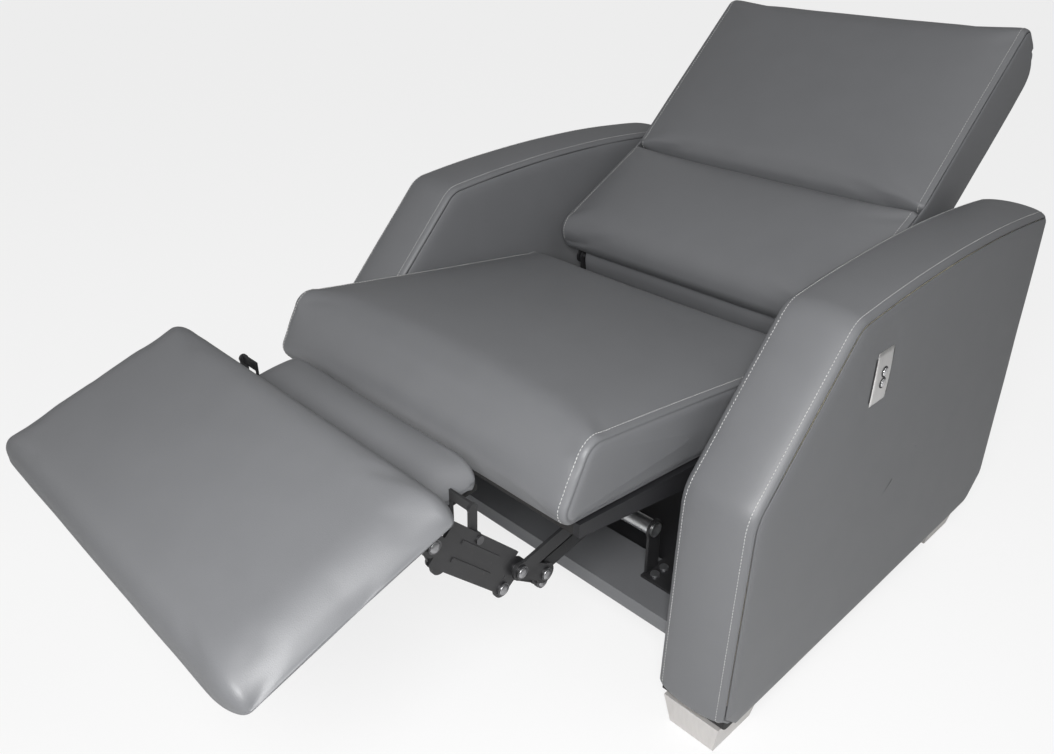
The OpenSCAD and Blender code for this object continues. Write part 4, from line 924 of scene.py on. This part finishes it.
paths = {"base": [], "carriage": [], "back": []}
for arm, side in (("left", 1), ("right", -1)):
    for dx in (42.0, -42.0):
        paths["base"].append((arm_line(arm_corners, dx, 5.2, side, wrap), pads[f"{arm}_arm_band_cover"]))
paths["carriage"] += [(line, pads["seat_cover"]) for line in seam_lines(
    seat_corners, SEAT_HALF, (0, 0), 0, 3.0, SEAT_STEP, 11.5, 0.6, run_of(seat_corners, SEAT_STEP, 2, 4))]
paths["back"] += [(line, pads["lumbar_cover"]) for line in seam_lines(
    lumbar_corners, BACK_HALF, *lumbar_place, 0, LUMBAR_STEP, 11.5, 0.6, run_of(lumbar_corners, LUMBAR_STEP, 2, 3))]
paths["back"] += [(line, pads["upper_back_cover"]) for line in seam_lines(
    upper_corners, BACK_HALF, *upper_place, 0, UPPER_STEP, 11.5, 0.6, run_of(upper_corners, UPPER_STEP, 1, 3))]
for body, lines in paths.items():
    data = bpy.data.meshes.new(body + "_path")
    points, edges = [], []
    for line, piece in lines:
        points += laid(line, piece)
        first = len(points) - len(fine(line, 6.0))
        edges += [(i, i + 1) for i in range(first, len(points) - 1)]
    data.from_pydata(points, edges, [])
    stitches = grown(f"{body}_stitches", data, stitch_tree)
    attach(stitches, body)
    print(body, "stitches", len(stitches.data.polygons), "faces")

# %% [markdown]
# ## Rivet heads
# The links turn on shouldered rivets. The CAD has each head as a flat disc, and the real head is domed over it by the
# press, so it catches a small round highlight. The outline of one dome is turned round by hand, and a small tree sets
# a copy on every disc, facing the way that the disc faces. The discs are found in the CAD meshes: each loose shell of
# a rivet node ends in two of them.

# %% Domes on the rivets
def dome(radius, height, sides=18):
    profile = [(1.0, 0.0), (0.985, 0.22), (0.90, 0.52), (0.72, 0.78), (0.46, 0.94), (0.20, 1.0)]
    points = [(radius * r * math.cos(2 * math.pi * k / sides), radius * r * math.sin(2 * math.pi * k / sides),
               height * h) for r, h in profile for k in range(sides)]
    return points, turned_faces(len(profile), sides)


def disc_ends(node, least_mm):
    """The middle and the facing of every end disc of a node's shells that is at least that wide, along X."""
    shell = bmesh.new()
    shell.from_mesh(frame["nodes"][node].data)
    bmesh.ops.remove_doubles(shell, verts=shell.verts, dist=1e-5)
    left, found = set(shell.verts), []
    while left:
        stack, group = [left.pop()], []
        while stack:
            v = stack.pop()
            group.append(v.co.copy())
            for edge in v.link_edges:
                other = edge.other_vert(v)
                if other in left:
                    left.remove(other)
                    stack.append(other)
        group = np.array(group)
        for sign in (1, -1):
            far = (group[:, 0] * sign).max()
            rim = group[group[:, 0] * sign > far - 2e-5]
            low, high = rim.min(0), rim.max(0)
            if min(high[1] - low[1], high[2] - low[2]) > least_mm * MM:
                found.append((((low + high) / 2), sign))
    shell.free()
    # A set hands out its members in an order that varies from run to run, so the ends are sorted by place.
    return sorted(found, key=lambda end: (*end[0], end[1]))


# A dome that faces inwards next to the steering link would meet the link when the seat folds.
LINK_SIDE = 0.2265
dome_points, dome_faces = dome(6.4, 2.1)
dome_seed = mesh_object("dome_seed", dome_points, dome_faces, dark_rivet)
dome_tree, given = new_tree("rivet_domes", {"Size": 1.0})
facing = tree_node(dome_tree, "GeometryNodeInputNamedAttribute", {"data_type": "FLOAT_VECTOR"}, {"Name": "facing"})
turned = tree_node(dome_tree, "FunctionNodeAlignRotationToVector", {"axis": "Z"}, {"Vector": facing.outputs[0]})
source = tree_node(dome_tree, "GeometryNodeObjectInfo", None, {"Object": dome_seed})
spots_of = tree_node(dome_tree, "GeometryNodeMeshToPoints", None, {"Mesh": given["Geometry"]})
set_on = tree_node(dome_tree, "GeometryNodeInstanceOnPoints", None,
                   {"Points": spots_of.outputs[0], "Instance": source.outputs["Geometry"],
                    "Rotation": turned.outputs[0], "Scale": given["Size"]})
close_tree(dome_tree, set_on.outputs[0], rivet_head)
for body, nodes in {"carriage": ["seat_rivets"], "rear_links": ["crank_rivets"],
                    "carrier": ["carrier_rivets", "strap_bolts"], "footrest": ["footrest_rivets"]}.items():
    ends = [(at, sign) for node in nodes for at, sign in disc_ends(node, 11.0)
            if sign * at[0] > 0 or abs(at[0]) > LINK_SIDE]
    data = bpy.data.meshes.new(body + "_discs")
    data.from_pydata([tuple(at) for at, _ in ends], [], [])
    data.attributes.new("facing", "FLOAT_VECTOR", "POINT").data.foreach_set(
        "vector", np.array([(sign, 0.0, 0.0) for _, sign in ends], np.float32).ravel())
    heads = grown(f"{body}_rivet_domes", data, dome_tree, Size=1.0)
    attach(heads, body)
    print(body, "rivet domes", len(ends))
bpy.data.objects.remove(dome_seed)

# %% [markdown]
# ## Switch plate
# On the outer side of the sitter's left arm sits a small brushed plate that bows outwards along its length, with two
# chromed buttons in black rings, which paint in the shadow round each button. The plate is a grid bent to that bow with
# its edges rolled back to the arm, and a cap is a turned profile that rides on its own button, so it moves when the
# button is pressed.

# %% Switch plate and buttons
def bowed_plate(name, middle, width, height, rise, bow):
    across, up = 14, 26
    rows = []
    for i in range(up + 1):
        v = 2 * i / up - 1
        row = []
        for j in range(across + 1):
            u = 2 * j / across - 1
            edge = min(1.0, (1 - abs(u)) * width / 2 / 1.6, (1 - abs(v)) * height / 2 / 1.6)
            x = rise * math.sin(edge * math.pi / 2) + bow * (1 - v * v) * (1 - 0.25 * u * u)
            row.append((middle[0] + x, middle[1] + u * width / 2 * (1 - 0.03 * v * v), middle[2] + v * height / 2))
        rows.append(row)
    flat = [p for row in rows for p in row]
    n, m = up + 1, across + 1
    faces = grid_faces(n, m)
    rim = (list(range(m)) + [r * m + m - 1 for r in range(1, n)]
           + [(n - 1) * m + c for c in range(m - 2, -1, -1)] + [r * m for r in range(n - 2, 0, -1)])
    base = len(flat)
    flat += [(middle[0] - 0.1, flat[k][1], flat[k][2]) for k in rim]
    faces += [(rim[i], rim[(i + 1) % len(rim)], base + (i + 1) % len(rim), base + i) for i in range(len(rim))]
    faces.append(tuple(range(base, base + len(rim))))
    return mesh_object(name, flat, faces, silver_plate)


def turned_piece(name, middle, profile, finish, sides=40, ring=False):
    """A profile of (radius, height) turned round X. A ring's profile closes on itself and leaves the middle open."""
    points = [(middle[0] + h, middle[1] + r * math.cos(2 * math.pi * k / sides),
               middle[2] + r * math.sin(2 * math.pi * k / sides)) for r, h in profile for k in range(sides)]
    return mesh_object(name, points, turned_faces(len(profile), sides, ring), finish)


SWITCH_X, SWITCH_Y, PLATE_Z = 408.0, 72.0, 472.0
BUTTONS = (("open_button", 479.5), ("close_button", 464.5))
plate = bowed_plate("switch_face", (SWITCH_X, SWITCH_Y, PLATE_Z), 39.0, 73.0, 1.3, 1.3)
for _, z in BUTTONS:
    punch = turned_piece("punch", (SWITCH_X, SWITCH_Y, z), [(6.5, -6.0), (6.5, 9.0)], black_plastic)
    hole = plate.modifiers.new("hole", "BOOLEAN")
    hole.operation, hole.solver, hole.object = "DIFFERENCE", "EXACT", punch
    applied(plate)
    bpy.data.objects.remove(punch)
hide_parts("switch_plate")
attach(plate, "base")
for body, z in BUTTONS:
    # Painted shade: a black ring round each button stands in for the dark shadow there.
    shade_ring = turned_piece(f"{body}_collar", (SWITCH_X, SWITCH_Y, z),
                          [(5.7, 1.2), (7.3, 1.2), (7.4, 2.7), (7.1, 3.1), (6.3, 3.0), (5.8, 2.2)], black_plastic,
                          ring=True)
    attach(shade_ring, "base")
    cap = turned_piece(f"{body}_cap", (SWITCH_X, SWITCH_Y, z),
                       [(5.4, 2.3), (5.5, 3.4), (5.2, 4.0), (4.2, 4.5), (2.6, 4.8), (0.9, 4.9)], chrome)
    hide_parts(body)
    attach(cap, body)
print("switch plate and", len(BUTTONS), "buttons with collars")

# %% [markdown]
# ## Studio
# A pale floor and a white surround, as in a catalogue. The main lamp stands a little behind and above the camera, so
# the near parts are lighter than the far ones and the slope of each arm catches a long soft highlight. A wide weak lamp
# opens the shadows from the other side, and a third from above parts the tops from the fronts.

# %% Studio
def lamp(name, place, target, size, watts):
    data = bpy.data.lights.new(name, "AREA")
    data.shape, data.size, data.energy = "DISK", size, watts
    made = bpy.data.objects.new(name, data)
    made.location = place
    made.rotation_euler = (Vector(target) - Vector(place)).to_track_quat("-Z", "Y").to_euler()
    scene.collection.objects.link(made)


lamp("key_lamp", (0.86, -1.12, 1.2), (0.1, -0.1, 0.4), 0.5, 24.5)
lamp("fill_lamp", (-2.2, -1.8, 1.6), (0.0, 0.0, 0.4), 2.0, 5)
lamp("top_lamp", (1.0, 0.5, 2.8), (0.1, 0.1, 0.4), 1.8, 11)

world = bpy.data.worlds.new("studio")
world.use_nodes = True
scene.world = world
sky = world.node_tree
path = sky.nodes.new("ShaderNodeLightPath")
soft, white = sky.nodes["Background"], sky.nodes.new("ShaderNodeBackground")
soft.inputs["Color"].default_value, soft.inputs["Strength"].default_value = (1, 1, 1, 1), 0.25
white.inputs["Color"].default_value, white.inputs["Strength"].default_value = (1, 1, 1, 1), 1.0
blend = sky.nodes.new("ShaderNodeMixShader")
sky.links.new(path.outputs["Is Camera Ray"], blend.inputs[0])
sky.links.new(soft.outputs[0], blend.inputs[1])
sky.links.new(white.outputs[0], blend.inputs[2])
sky.links.new(blend.outputs[0], sky.nodes["World Output"].inputs["Surface"])

floor_finish = Finish("pale_floor")
floor_finish.shade(Base_Color=(0.9, 0.9, 0.9), Roughness=0.9)
glow = floor_finish.node("ShaderNodeEmission", None, {"Color": (1, 1, 1), "Strength": 1.0})
seen = floor_finish.node("ShaderNodeLightPath", None, None, "Is Camera Ray")
share = seen * 0.8
lit = Value(floor_finish, floor_finish.shader.outputs[0])
mixed = floor_finish.node("ShaderNodeMixShader", None, {0: share, 1: lit, 2: glow})
floor_finish.tree.links.new(mixed.socket, floor_finish.tree.nodes["Material Output"].inputs["Surface"])
bpy.ops.mesh.primitive_plane_add(size=30, location=(0, 0, -0.0005))
floor = bpy.context.object
floor.name = "floor"
floor.data.materials.append(floor_finish.material)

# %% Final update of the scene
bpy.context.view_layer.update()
